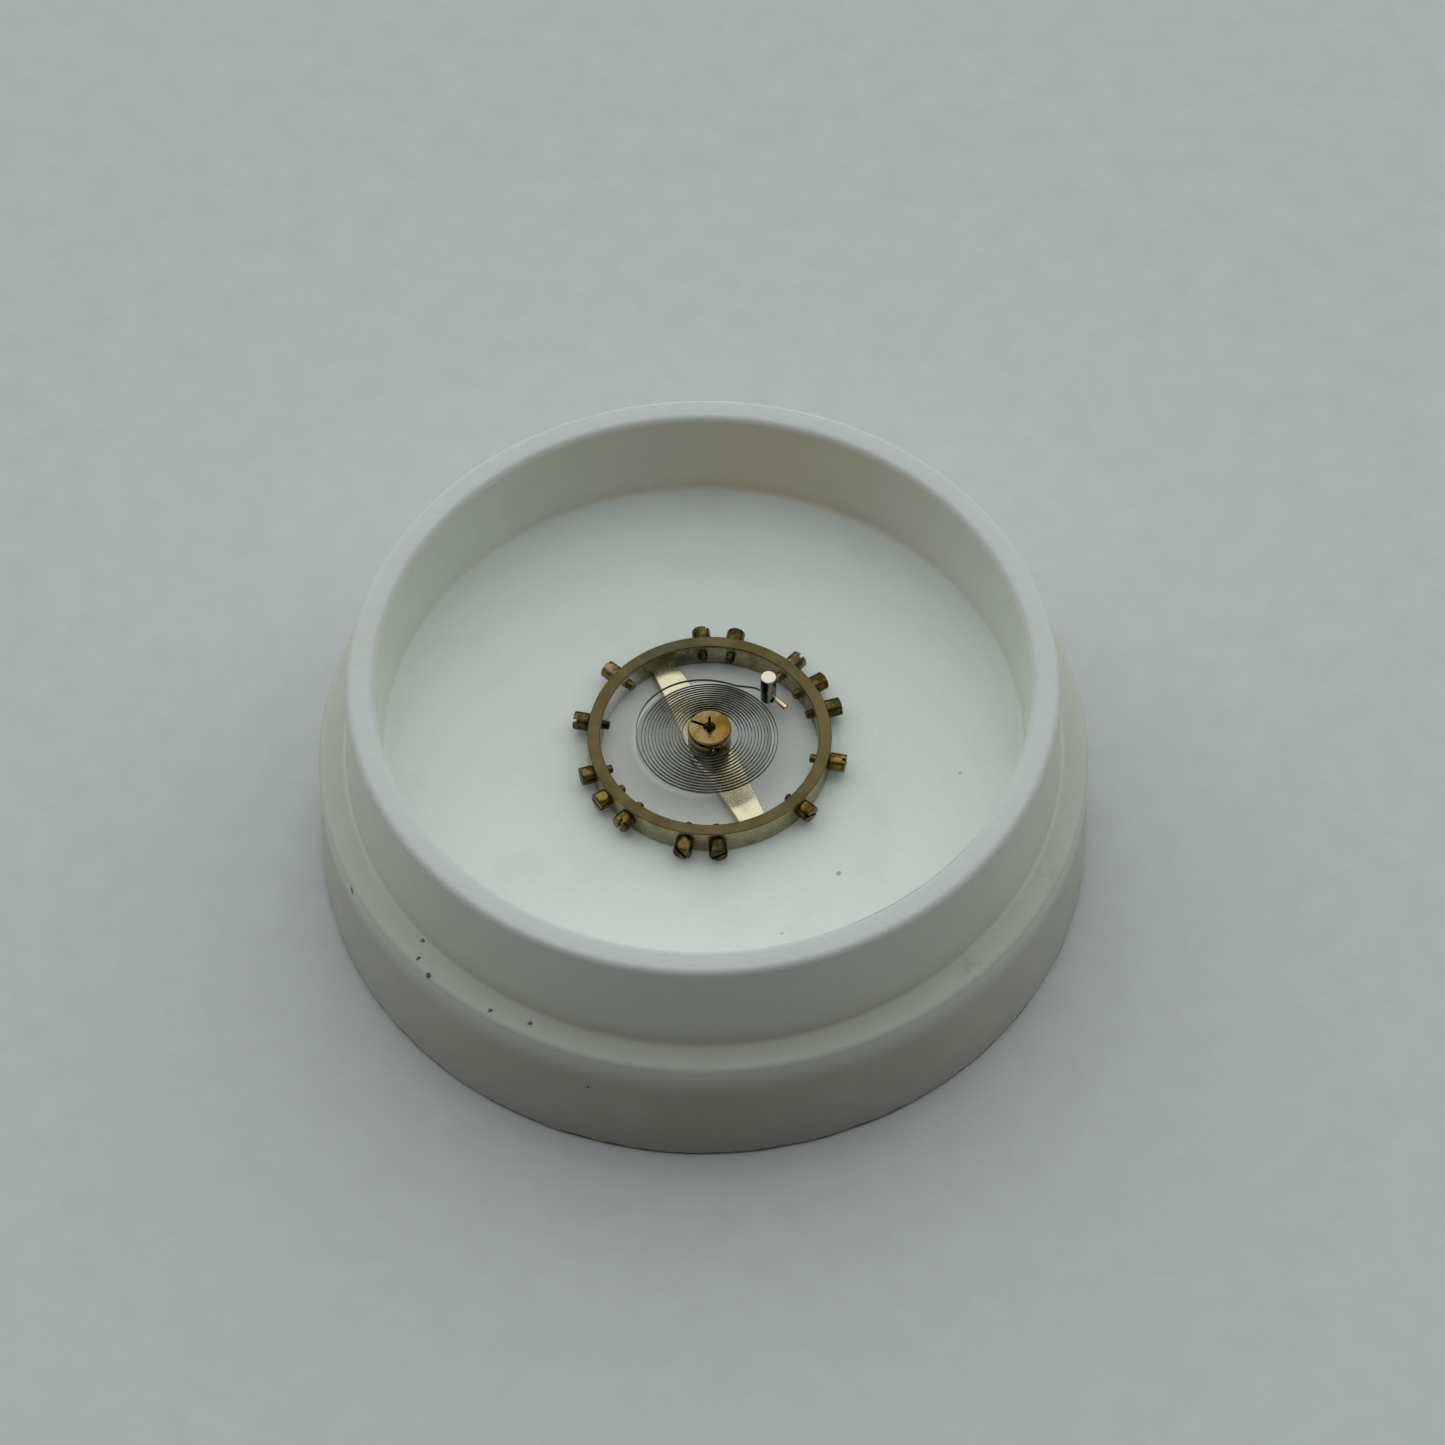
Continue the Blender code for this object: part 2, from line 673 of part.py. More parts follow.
def make_impulse_jewel(mat, parent):
    """A ruby pin with a flat on its outer side."""
    blank = upright_rod(JEWEL_RADIUS, 0.0, 0.0, JEWEL_FOOT, JEWEL_TOP, SCREW_STEPS)
    plane = Vector((JEWEL_RADIUS / 2, 0.0, 0.0))
    cut_edges = bmesh.ops.bisect_plane(
        blank,
        geom=blank.verts[:] + blank.edges[:] + blank.faces[:],
        plane_co=plane,
        plane_no=(1.0, 0.0, 0.0),
        clear_outer=True,
    )["geom_cut"]
    bmesh.ops.contextual_create(blank, geom=[g for g in cut_edges if isinstance(g, bmesh.types.BMEdge)])
    place(blank, turn(ARM_AZIMUTH) @ Matrix.Translation((JEWEL_DISTANCE, 0.0, 0.0)))
    return finish("impulse_jewel", blank, mat, parent)


def make_safety_roller(mat, parent):
    bore = ROLLER_SEAT_RADIUS + 0.01
    disc = ring_bmesh(bore, SAFETY_RADIUS, SAFETY_UNDERSIDE, SAFETY_TOP, 24)
    roller = finish("safety_roller", disc, mat, parent)
    hollow = upright_rod(PASSING_HOLLOW_RADIUS, SAFETY_RADIUS, ARM_AZIMUTH, -1.5, -0.5, SCREW_STEPS)
    cut(roller, finish("passing_hollow_cutter", hollow, None))
    return roller


# ---------------------------------------------------------------- assembly


def main():
    clear_scene()
    white_plastic = material("white_plastic", (0.66, 0.70, 0.66), 0.5, 0.0)
    rim_alloy = material("gilt_alloy", (0.33, 0.27, 0.13), 0.35, 1.0)
    brass = material("brass", (0.48, 0.34, 0.11), 0.3, 1.0)
    screw_brass = material("screw_brass", (0.32, 0.23, 0.08), 0.3, 1.0)
    spring_steel = material("spring_steel", (0.42, 0.42, 0.40), 0.3, 1.0)
    steel = material("polished_steel", (0.62, 0.61, 0.58), 0.15, 1.0)
    ruby = material("ruby", (0.55, 0.02, 0.06), 0.05, 0.0)

    make_pot(white_plastic)
    centre = (BALANCE_X, BALANCE_Y, FLOOR_HEIGHT + REST_GAP)
    stud_carrier = empty("lift_axis", centre)
    balance = empty("staff_axis", (0.0, 0.0, 0.0), stud_carrier)

    make_stud(steel, stud_carrier)
    make_stud_pin(brass, stud_carrier)
    make_hairspring(spring_steel, stud_carrier)

    make_wheel(rim_alloy, balance)
    make_timing_screws(screw_brass, balance)
    make_staff(steel, balance)
    make_collet(brass, balance)
    make_collet_pin(brass, balance)
    make_roller_table(steel, balance)
    make_safety_roller(steel, balance)
    make_impulse_jewel(ruby, balance)


main()
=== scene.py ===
"""Looks for a watch balance complete lying in the bottom half of a small storage pot.

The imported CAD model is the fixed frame. Each CAD node is replaced by a finer mesh of the same
size, with rounded edges, threads, slots and a procedural finish. Sizes below are in millimetres.
The balance is modelled in its own frame, whose origin is on the staff's axis, level with the
underside of the wheel's rim.
"""

import math

import bmesh
import bpy
from mathutils import Euler, Matrix, Vector, noise


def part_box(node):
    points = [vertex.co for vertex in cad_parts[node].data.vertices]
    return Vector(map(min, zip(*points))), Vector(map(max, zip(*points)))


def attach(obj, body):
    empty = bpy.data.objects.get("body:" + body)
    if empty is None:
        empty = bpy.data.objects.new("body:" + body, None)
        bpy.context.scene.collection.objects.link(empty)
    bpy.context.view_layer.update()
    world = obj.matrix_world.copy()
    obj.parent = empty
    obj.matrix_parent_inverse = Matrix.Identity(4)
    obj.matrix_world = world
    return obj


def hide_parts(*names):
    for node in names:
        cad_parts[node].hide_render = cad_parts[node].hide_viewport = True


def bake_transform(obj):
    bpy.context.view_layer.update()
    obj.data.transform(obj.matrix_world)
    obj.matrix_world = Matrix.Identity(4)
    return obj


MM = 0.001
SHARP_ANGLE = math.radians(30.0)
FINE_ROUNDING = 0.02
EDGE_ROUNDING = 0.03

# ---------------------------- frame

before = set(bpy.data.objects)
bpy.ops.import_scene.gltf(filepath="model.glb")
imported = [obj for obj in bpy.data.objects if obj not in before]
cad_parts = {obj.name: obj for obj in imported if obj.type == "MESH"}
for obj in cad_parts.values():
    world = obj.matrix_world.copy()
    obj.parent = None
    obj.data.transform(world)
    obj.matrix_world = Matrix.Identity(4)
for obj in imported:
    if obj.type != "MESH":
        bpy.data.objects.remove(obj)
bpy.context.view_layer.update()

staff_low, staff_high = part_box("balance_staff")
wheel_low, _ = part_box("balance_wheel")
POT = Vector((0.0, 0.0, 0.0))
BALANCE = (staff_low + staff_high) / 2
BALANCE.z = wheel_low.z
TO_POT = Matrix.Translation(POT)
TO_BALANCE = Matrix.Translation(BALANCE)

# ---------------------------- pot sizes

LIP_RADIUS = 15.0
NECK_FOOT_RADIUS = 15.27
SHOULDER_RADIUS = 16.45
BASE_RADIUS = 16.68
WELL_MOUTH_RADIUS = 13.82
WELL_FLOOR_RADIUS = 13.70
POT_HEIGHT = 11.35
SHOULDER_HEIGHT = 6.35
FLOOR_HEIGHT = 6.65
CEILING_HEIGHT = 5.25
SKIRT_INNER_RADIUS = 15.45
CEILING_RADIUS = 15.05
LIP_ROUNDING = 0.30
POT_EDGE_ROUNDING = 0.25
DISH_RADIUS = 2.90
DISH_DEPTH = 1.90
DISH_STEPS = 24
BOSS_RADIUS = 3.30
BOSS_FOOT = 3.95
BOSS_DRAFT = 0.10
BOSS_ROUNDING = 0.15
BOSS_ROOT_ROUNDING = 0.20
SKIRT_FOOT_ROUNDING = 0.08
BASE_FOOT_ROUNDING = 0.20
POT_STEPS = 288
FOOT_WEAR = 0.05
FOOT_WEAR_HEIGHT = 0.25
FOOT_WEAR_RADIUS = 0.985 * BASE_RADIUS
FOOT_WEAR_WAVES = 0.9
FOOT_WEAR_BIAS = 0.25

# ---------------------------- wheel and screw sizes

RIM_OUTER_RADIUS = 5.20
RIM_INNER_RADIUS = 4.64
RIM_HEIGHT = 1.18
RIM_FOOT_ROUNDING = 0.05
RIM_OUTER_ROUNDING = 0.07
RIM_INNER_ROUNDING = 0.10
RIM_STEPS = 240
ARM_AZIMUTH = math.radians(115.5)
ARM_TIP_HALF_WIDTH = 0.55
ARM_SWELL = 0.40
ARM_SWELL_POWER = 1.5
ARM_UNDERSIDE = 0.04
ARM_TOP = 0.40
ARM_BEVEL = 0.02
ARM_STATIONS = 40
ARM_BORE_RADIUS = 0.41

SCREW_GAP_AZIMUTH = math.radians(116.25)
HOLE_PITCH = math.radians(15.0)
SCREW_STATIONS = (-1.5, -2.5, -4.5, -5.5, -6.5, -8.5, -10.5)
SCREW_AXIS_HEIGHT = 0.62
HEAD_RADIUS = 0.395
HEAD_INNER_END = 5.22
HEAD_OUTER_END = 5.90
TRIMMED_HEAD_OUTER_END = 5.76
TRIMMED_SCREWS = (7, 10, 11, 12)
HEAD_ROUNDING = 0.05
THREAD_RADIUS = 0.20
THREAD_DEPTH = 0.025
THREAD_PITCH = 0.09
THREAD_LEAD = 0.03
SHANK_TIP = 4.34
SHANK_CHAMFER = 0.05
TAPPED_HOLE_RADIUS = 0.215
TAPPED_HOLE_MARGIN = 0.4
SLOT_WIDTH = 0.13
SLOT_DEPTH = 0.16
SCREW_STEPS = 40
HOLE_STEPS = 24

# ---------------------------- staff, collet and spring sizes

PIVOT_RADIUS = 0.06
UPPER_TIP = 2.50
UPPER_PIVOT_ROOT = 2.12
LOWER_PIVOT_ROOT = -1.46
LOWER_TIP = -1.75
CONE_RADIUS = 0.10
UPPER_CONE_HEIGHT = 2.00
LOWER_CONE_HEIGHT = -1.36
NECK_RADIUS = 0.13
NECK_TOP = 1.90
NECK_FOOT = 1.50
COLLET_SEAT_RADIUS = 0.25
COLLET_SEAT_TOP = 1.44
HUB_RADIUS = 0.62
WHEEL_SEAT_RADIUS = 0.40
RIVET_RADIUS = 0.48
RIVET_FOOT = -0.06
ROLLER_SEAT_RADIUS = 0.22
ROLLER_SEAT_TOP = -0.10
ROLLER_SEAT_FOOT = -1.24
STAFF_STEPS = 64
RUNNING_GAP = 0.02

COLLET_RADIUS = 0.92
COLLET_BORE_RADIUS = COLLET_SEAT_RADIUS + 0.01
COLLET_STEPS = 128
COLLET_FOOT = 0.54
COLLET_TOP = 1.70
COLLET_ROUNDING = 0.10
COLLET_SLIT_AZIMUTH = math.radians(158.0)
COLLET_SLIT_WIDTH = 0.13
COLLET_HOLE_OFFSET = 0.62
COLLET_HOLE_AZIMUTH = math.radians(-28.0)
COLLET_HOLE_HEIGHT = 1.23
COLLET_HOLE_RADIUS = 0.15
COLLET_PIN_RADIUS = 0.05
COLLET_PIN_LENGTH = 1.50
COLLET_STRIP_END = 0.35
COLLET_STRIP_EXIT = 0.68

SPRING_HEIGHT = 0.93
STRIP_THICKNESS = 0.03
STRIP_WIDTH = 0.11
SPRING_TURNS = 13.5
SPRING_INNER_RADIUS = 1.14
SPRING_OUTER_RADIUS = 3.05
SPRING_OUTER_AZIMUTH = math.radians(70.0)
SPRING_SHIFT = -0.04
SPRING_LEAN = 0.055
SPRING_CROWN = 0.30
BULGE_START = 0.38
BULGE_SPAN = 0.42
BULGE_REACH = 0.25
SPRING_STEPS_PER_TURN = 96
SPRING_BEND_STEPS = 24

# ---------------------------- stud and roller sizes

STUD_AZIMUTH = math.radians(44.2)
STUD_DISTANCE = 3.50
STUD_RADIUS = 0.34
STUD_FOOT = 0.43
STUD_TOP = 1.97
STUD_ROUNDING = 0.06
STUD_STEPS = 64
STUD_HOLE_HEIGHT = 0.66
STUD_HOLE_RADIUS = 0.17
STUD_STRIP_OFFSET = -0.08
STUD_STRIP_ENTRY = -0.36
STUD_STRIP_END = 0.10
STUD_PIN_OFFSET = 0.06
STUD_PIN_THIN_RADIUS = 0.08
STUD_PIN_THICK_RADIUS = 0.14
STUD_PIN_START = -0.45
STUD_PIN_END = 1.05

TABLE_RADIUS = 0.90
TABLE_TOP = -0.20
TABLE_UNDERSIDE = -0.42
TABLE_HUB_RADIUS = 0.38
TABLE_HUB_FOOT = -0.84
JEWEL_DISTANCE = 0.70
JEWEL_RADIUS = 0.10
JEWEL_TOP = -0.14
JEWEL_FOOT = -1.00
JEWEL_FIT = 0.015
SAFETY_RADIUS = 0.50
SAFETY_TOP = -0.86
SAFETY_UNDERSIDE = -1.14
PASSING_HOLLOW_RADIUS = 0.15
ROLLER_BORE_RADIUS = ROLLER_SEAT_RADIUS + 0.01
ROLLER_STEPS = 96

# ---------------------------- shape helpers


def rounded(corners, closed=False, steps=4):
    """Points of a section given as (radius, height, rounding) corners, with each rounded off."""
    points = []
    last = len(corners) - 1
    for i, (x, y, rounding) in enumerate(corners):
        if rounding == 0.0 or (not closed and i in (0, last)):
            points.append((x, y))
            continue
        here = Vector((x, y))
        before = (Vector(corners[i - 1][:2]) - here).normalized()
        after = (Vector(corners[(i + 1) % len(corners)][:2]) - here).normalized()
        half = before.angle(after) / 2
        centre = here + (before + after).normalized() * rounding / math.sin(half)
        reach = rounding / math.tan(half)
        start = here + before * reach - centre
        end = here + after * reach - centre
        sweep = math.atan2(start.x * end.y - start.y * end.x, start.dot(end))
        for k in range(steps + 1):
            angle = math.atan2(start.y, start.x) + sweep * k / steps
            outward = centre.x + rounding * math.cos(angle)
            points.append((outward, centre.y + rounding * math.sin(angle)))
    return points


def turned(profile, steps, closed):
    """A bmesh turned about Z from (radius, height) points. An open profile ends on the axis."""
    bm = bmesh.new()
    verts = [bm.verts.new((r, 0.0, z)) for r, z in profile]
    edges = [bm.edges.new(pair) for pair in zip(verts, verts[1:])]
    if closed:
        edges.append(bm.edges.new((verts[-1], verts[0])))
    bmesh.ops.spin(
        bm,
        geom=verts + edges,
        axis=(0, 0, 1),
        cent=(0, 0, 0),
        steps=steps,
        angle=2 * math.pi,
        use_duplicate=False,
    )
    bmesh.ops.remove_doubles(bm, verts=bm.verts, dist=1e-5)
    return bm


def place(bm, matrix):
    bmesh.ops.transform(bm, matrix=matrix, verts=bm.verts)


def along_x(bm):
    """Turns a bmesh made along Z so that it lies along X."""
    place(bm, Euler((0.0, math.pi / 2, 0.0)).to_matrix().to_4x4())
    return bm


def pillar(radius, start, end, steps, end_radius=None, rounding=0.0):
    """A rod up Z from start to end, tapering to end_radius if that is given."""
    end_radius = radius if end_radius is None else end_radius
    corners = [
        (0.0, start, 0.0),
        (radius, start, rounding),
        (end_radius, end, rounding),
        (0.0, end, 0.0),
    ]
    return turned(rounded(corners), steps, closed=False)


def rod(radius, start, end, steps, end_radius=None, rounding=0.0):
    """A pillar laid along X."""
    return along_x(pillar(radius, start, end, steps, end_radius, rounding))


def block(low, high):
    bm = bmesh.new()
    size = Vector(high) - Vector(low)
    centre = (Vector(high) + Vector(low)) / 2
    bmesh.ops.create_cube(bm, size=1.0, matrix=Matrix.LocRotScale(centre, None, size))
    return bm


def polar(radius, azimuth, height=0.0):
    return Vector((radius * math.cos(azimuth), radius * math.sin(azimuth), height))


def turn(azimuth):
    return Matrix.Rotation(azimuth, 4, "Z")


def tangent_frame(azimuth, distance, height):
    """A frame whose X runs clockwise round the staff, and whose Y points away from it."""
    along = polar(1.0, azimuth - math.pi / 2)
    out = polar(1.0, azimuth)
    matrix = Matrix((along, out, Vector((0.0, 0.0, -1.0)))).transposed().to_4x4()
    matrix.translation = polar(distance, azimuth, height)
    return matrix


def upright_rod(radius, distance, azimuth, bottom, top, steps, rounding=0.0):
    bm = pillar(radius, bottom, top, steps, rounding=rounding)
    place(bm, Matrix.Translation(polar(distance, azimuth)))
    return bm


def joined(parts):
    """One bmesh that holds several."""
    whole = bmesh.new()
    for part in parts:
        mesh = bpy.data.meshes.new("part")
        part.to_mesh(mesh)
        part.free()
        whole.from_mesh(mesh)
        bpy.data.meshes.remove(mesh)
    return whole


# ---------------------------- pieces


def raw_object(name, bm, finish, origin):
    """An object in metres from a bmesh in millimetres, moved to origin."""
    bmesh.ops.recalc_face_normals(bm, faces=bm.faces)
    bmesh.ops.scale(bm, vec=(MM, MM, MM), verts=bm.verts)
    place(bm, origin)
    mesh = bpy.data.meshes.new(name)
    bm.to_mesh(mesh)
    bm.free()
    mesh.materials.append(finish)
    obj = bpy.data.objects.new(name, mesh)
    bpy.context.scene.collection.objects.link(obj)
    return obj


def combined(obj, others, operation):
    """Joins other objects to obj or cuts them from it. Each face keeps its own finish."""
    for other in others:
        modifier = obj.modifiers.new(other.name, "BOOLEAN")
        modifier.operation = operation
        modifier.material_mode = "TRANSFER"
        modifier.object = other
    depsgraph = bpy.context.evaluated_depsgraph_get()
    mesh = bpy.data.meshes.new_from_object(obj.evaluated_get(depsgraph))
    obj.modifiers.clear()
    obj.data = mesh
    for other in others:
        bpy.data.objects.remove(other)


def cut(obj, name, bm, origin=TO_BALANCE):
    """Cuts a bmesh's shape out of obj, and gives the cut the same finish."""
    combined(obj, [raw_object(name, bm, obj.data.materials[0], origin)], "DIFFERENCE")


def turned_ring(name, corners, steps, finish):
    """An object turned about the staff's axis from a closed section."""
    bm = turned(rounded(corners, closed=True), steps, closed=True)
    return raw_object(name, bm, finish, TO_BALANCE)


def smooth(obj):
    obj.data.shade_smooth()
    obj.data.set_sharp_from_angle(angle=SHARP_ANGLE)


def settle(obj, body, node):
    """Shades a finished piece, rides it on its CAD body and shows it in place of its CAD node."""
    smooth(obj)
    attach(obj, body)
    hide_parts(node)


# ---------------------------- node helpers


def add(tree, kind, inputs=None, **settings):
    """A new node with its settings and inputs. An input given as a socket is linked."""
    node = tree.nodes.new(kind)
    for key, value in settings.items():
        setattr(node, key, value)
    for key, value in (inputs or {}).items():
        if isinstance(value, bpy.types.NodeSocket):
            tree.links.new(value, node.inputs[key])
        else:
            node.inputs[key].default_value = value
    return node


def new_material(name):
    """A material with its tree, its Principled shader and its object coordinates."""
    mat = bpy.data.materials.new(name)
    mat.use_nodes = True
    tree = mat.node_tree
    where = add(tree, "ShaderNodeTexCoord").outputs["Object"]
    return mat, tree, tree.nodes["Principled BSDF"], where


def grain(tree, where, scale, detail=3.0, roughness=0.55):
    """A noise pattern from 0 to 1, whose scale is in waves per millimetre."""
    inputs = {"Vector": where, "Scale": scale / MM, "Detail": detail, "Roughness": roughness}
    return add(tree, "ShaderNodeTexNoise", inputs).outputs["Fac"]


def remap(tree, value, low, high, to_low=0.0, to_high=1.0):
    """value taken smoothly from low..high to to_low..to_high. low may be the higher one."""
    inputs = {
        "Value": value,
        "From Min": low,
        "From Max": high,
        "To Min": to_low,
        "To Max": to_high,
    }
    node = add(tree, "ShaderNodeMapRange", inputs, interpolation_type="SMOOTHSTEP")
    return node.outputs["Result"]


def remap_mm(tree, length, low, high, to_low=0.0, to_high=1.0):
    """remap for a length, with low and high in millimetres."""
    return remap(tree, length, low * MM, high * MM, to_low, to_high)


def maths(tree, operation, a, b):
    return add(tree, "ShaderNodeMath", {0: a, 1: b}, operation=operation).outputs["Value"]


def times(tree, *masks):
    """The product of several masks."""
    product = masks[0]
    for mask in masks[1:]:
        product = maths(tree, "MULTIPLY", product, mask)
    return product


def vector_maths(tree, operation, a, b=(0.0, 0.0, 0.0)):
    """A vector operation's outputs: Vector, or Value where the result is a number."""
    return add(tree, "ShaderNodeVectorMath", {0: a, 1: b}, operation=operation).outputs


def mixed(tree, share, a, b):
    """Colour a where share is 0 and b where it is 1."""
    node = add(tree, "ShaderNodeMix", data_type="RGBA")
    for socket, value in ((0, share), (6, a), (7, b)):
        if isinstance(value, bpy.types.NodeSocket):
            tree.links.new(value, node.inputs[socket])
        else:
            node.inputs[socket].default_value = value if socket == 0 else (*value, 1.0)
    return node.outputs[2]


def height_of(tree, where):
    """How high a place is, or how far a direction points up."""
    return add(tree, "ShaderNodeSeparateXYZ", {0: where}).outputs["Z"]


def radius_of(tree, where):
    """How far a place is from the Z axis."""
    level = vector_maths(tree, "MULTIPLY", where, (1.0, 1.0, 0.0))["Vector"]
    return vector_maths(tree, "LENGTH", level)["Value"]


def spot(azimuth, distance, height, reach):
    """A patch: its middle, by azimuth in degrees, distance from the axis and height; its reach."""
    return polar(distance, math.radians(azimuth), height), reach


def near(tree, where, origin, patch):
    """1 in the middle of a patch, falling to 0 at its reach. The patch is measured from origin."""
    middle, reach = patch
    distance = vector_maths(tree, "DISTANCE", where, origin + middle * MM)["Value"]
    return remap_mm(tree, distance, 0.0, reach, 1.0, 0.0)


def near_any(tree, where, origin, patches):
    """near for several patches at once."""
    mask, *others = [near(tree, where, origin, patch) for patch in patches]
    for other in others:
        mask = maths(tree, "MAXIMUM", mask, other)
    return mask


def wobbled(tree, where, scale, reach):
    """Each place pushed about by up to half of reach, which gives masks ragged edges."""
    inputs = {"Vector": where, "Scale": scale / MM, "Detail": 2.0}
    push = add(tree, "ShaderNodeTexNoise", inputs).outputs["Color"]
    centred = vector_maths(tree, "SUBTRACT", push, (0.5, 0.5, 0.5))["Vector"]
    scaling = {0: centred, "Scale": reach * MM}
    scaled = add(tree, "ShaderNodeVectorMath", scaling, operation="SCALE").outputs["Vector"]
    return vector_maths(tree, "ADD", where, scaled)["Vector"]


def bump(tree, shader, height, depth):
    """Raises the surface by height, 0 to 1, times depth in millimetres."""
    inputs = {"Height": height, "Distance": depth * MM, "Strength": 1.0}
    tree.links.new(add(tree, "ShaderNodeBump", inputs).outputs["Normal"], shader.inputs["Normal"])


def uneven_sheen(tree, shader, where, scale, roughness):
    """Roughness that drifts between two values over the surface."""
    drift = remap(tree, grain(tree, where, scale), 0.3, 0.7, *roughness)
    tree.links.new(drift, shader.inputs["Roughness"])


# ---------------------------- moulded plastic

# The plastic's own off-white, tinted with painted light and shade: cooler on the floor, where cool
# light falls, warmer and paler on the inner walls, and darker on the outside, which faces the dark
# room.
FLOOR_PLASTIC = (0.695, 0.765, 0.745)
# Painted shade on the floor under and round the wheel.
FLOOR_SHADE_UNDER_WHEEL = (0.57, 0.60, 0.58)
# Painted light in the dish under the spring, which offsets the shade that falls there.
DISH_PAINTED_LIGHT = (0.88, 0.93, 0.90)
WALL_PLASTIC = (0.76, 0.795, 0.725)
# A warm tint painted on the far inner wall, standing in for the warm cast of the shade there.
WARM_SHADE_TINT = (0.72, 0.66, 0.53)
OUTER_PLASTIC = (0.665, 0.685, 0.62)
# Painted shade on the outside of the base, deepest at the front and towards the bottom.
BASE_SHADE_COLOUR = (0.33, 0.305, 0.265)
# Painted shade on the ledge at the neck's foot, where the neck keeps the light off.
LEDGE_PAINTED_SHADE = (0.53, 0.555, 0.505)
# The lip's plastic, darkened by painted shade that tones down the light it catches from above.
LIP_PLASTIC = (0.59, 0.63, 0.628)
GRIME = (0.56, 0.56, 0.49)
DARK_MARK = (0.34, 0.34, 0.30)
# A painted contact shadow along the foot's outer edge, where the pot meets the table.
FOOT_CONTACT_SHADOW = (0.055, 0.055, 0.05)
SPECK = (0.05, 0.055, 0.055)

# Where one colour gives way to the next: from where it starts to where it is full.
WELL_FLOOR_RADII = (WELL_FLOOR_RADIUS, WELL_FLOOR_RADIUS - 0.25)
WELL_FLOOR_LEVELS = (FLOOR_HEIGHT + 0.3, FLOOR_HEIGHT + 0.02)
# Painted shade under the wheel: full inside the first radius, gone beyond the second.
WHEEL_SHADE_RADII = (3.0, 6.5)
DISH_RADII = (3.2, 2.7)
OUTSIDE_RADII = (14.3, 14.7)
LIP_LEVELS = (11.14, 11.30)
BASE_LEVELS = (6.0, 4.4)
LEDGE_RADII = (15.3, 15.5)
LEDGE_LEVELS = (6.0, 6.25)
FOOT_RADII = (BASE_RADIUS - 0.35, BASE_RADIUS - 0.15)
FOOT_LEVELS = (0.26, 0.14)

# How much painted shade darkens the outside: all round the base, and more at the front, least above
# the base.
BASE_SHADE_SHARE = 0.45
FRONT_SHADE_SHARES = (0.36, 0.47)
GRIME_SHARE = 0.22

# Where the painted warm tint of shade lies, on the far inner wall.
WARM_SHADE_PATCH = (Vector((3.0, 14.0, 8.5)), 16.0)
# Where the painted shade on the outside is deepest, at the front.
FRONT_SHADE_PATCH = (Vector((0.0, -17.0, 4.0)), 21.0)

# The fine dark line on the lip's inner edge: its lowest and highest level, its radii and its run.
MOUTH_LINE_LOW = POT_HEIGHT - 0.46 * LIP_ROUNDING
MOUTH_LINE_HIGH = POT_HEIGHT - 0.11 * LIP_ROUNDING
MOUTH_LINE_EDGE = 0.01
MOUTH_LINE_RADII = (14.4, 14.3)
MOUTH_LINE_RUN = spot(-56.0, 14.0, 11.15, 7.0)

SPECKS = (
    spot(-153.6, 16.45, 5.95, 0.34),
    spot(-139.0, 15.42, 6.35, 0.16),
    spot(-137.1, 16.14, 6.35, 0.22),
    spot(-133.9, 16.38, 6.28, 0.24),
    spot(-122.8, 16.10, 6.35, 0.18),
    spot(-116.6, 15.85, 6.35, 0.20),
    spot(-106.7, 16.53, 4.07, 0.15),
)
FAINT_SPECKS = (
    spot(-9.2, 11.08, 6.65, 0.18),
    spot(-50.5, 8.96, 6.65, 0.22),
    spot(-71.7, 10.46, 6.65, 0.12),
)
SCUFFS = (spot(-25.6, 16.04, 6.35, 0.9), spot(-45.8, 15.99, 6.35, 0.8))


def plastic_colour(tree, where):
    """The colour of each part of the pot, with its painted light and shade, its grime, its scuffs
    and its specks.
    """
    radius = radius_of(tree, where)
    height = height_of(tree, where)
    on_floor = times(
        tree,
        remap_mm(tree, radius, *WELL_FLOOR_RADII),
        remap_mm(tree, height, *WELL_FLOOR_LEVELS),
    )
    # The inner walls, with the painted warm tint of shade on the far side.
    walls = mixed(tree, near(tree, where, POT, WARM_SHADE_PATCH), WALL_PLASTIC, WARM_SHADE_TINT)
    colour = mixed(tree, on_floor, walls, floor_colour(tree, radius))
    outside = remap_mm(tree, radius, *OUTSIDE_RADII)
    colour = mixed(tree, outside, colour, outer_colour(tree, where, radius, height))
    # Painted shade on the lip.
    colour = mixed(tree, remap_mm(tree, height, *LIP_LEVELS), colour, LIP_PLASTIC)
    colour = mixed(tree, mouth_line(tree, where, radius, height), colour, DARK_MARK)
    grime = remap(tree, grain(tree, where, 0.25, detail=4.0), 0.50, 0.75, 0.0, GRIME_SHARE)
    return marked(tree, where, mixed(tree, grime, colour, GRIME))


def floor_colour(tree, radius):
    """The well's floor: greenish white, with painted shade near the wheel and painted light in the
    dish.
    """
    clear_of_shade = remap_mm(tree, radius, *WHEEL_SHADE_RADII)
    floor = mixed(tree, clear_of_shade, FLOOR_SHADE_UNDER_WHEEL, FLOOR_PLASTIC)
    return mixed(tree, remap_mm(tree, radius, *DISH_RADII), floor, DISH_PAINTED_LIGHT)


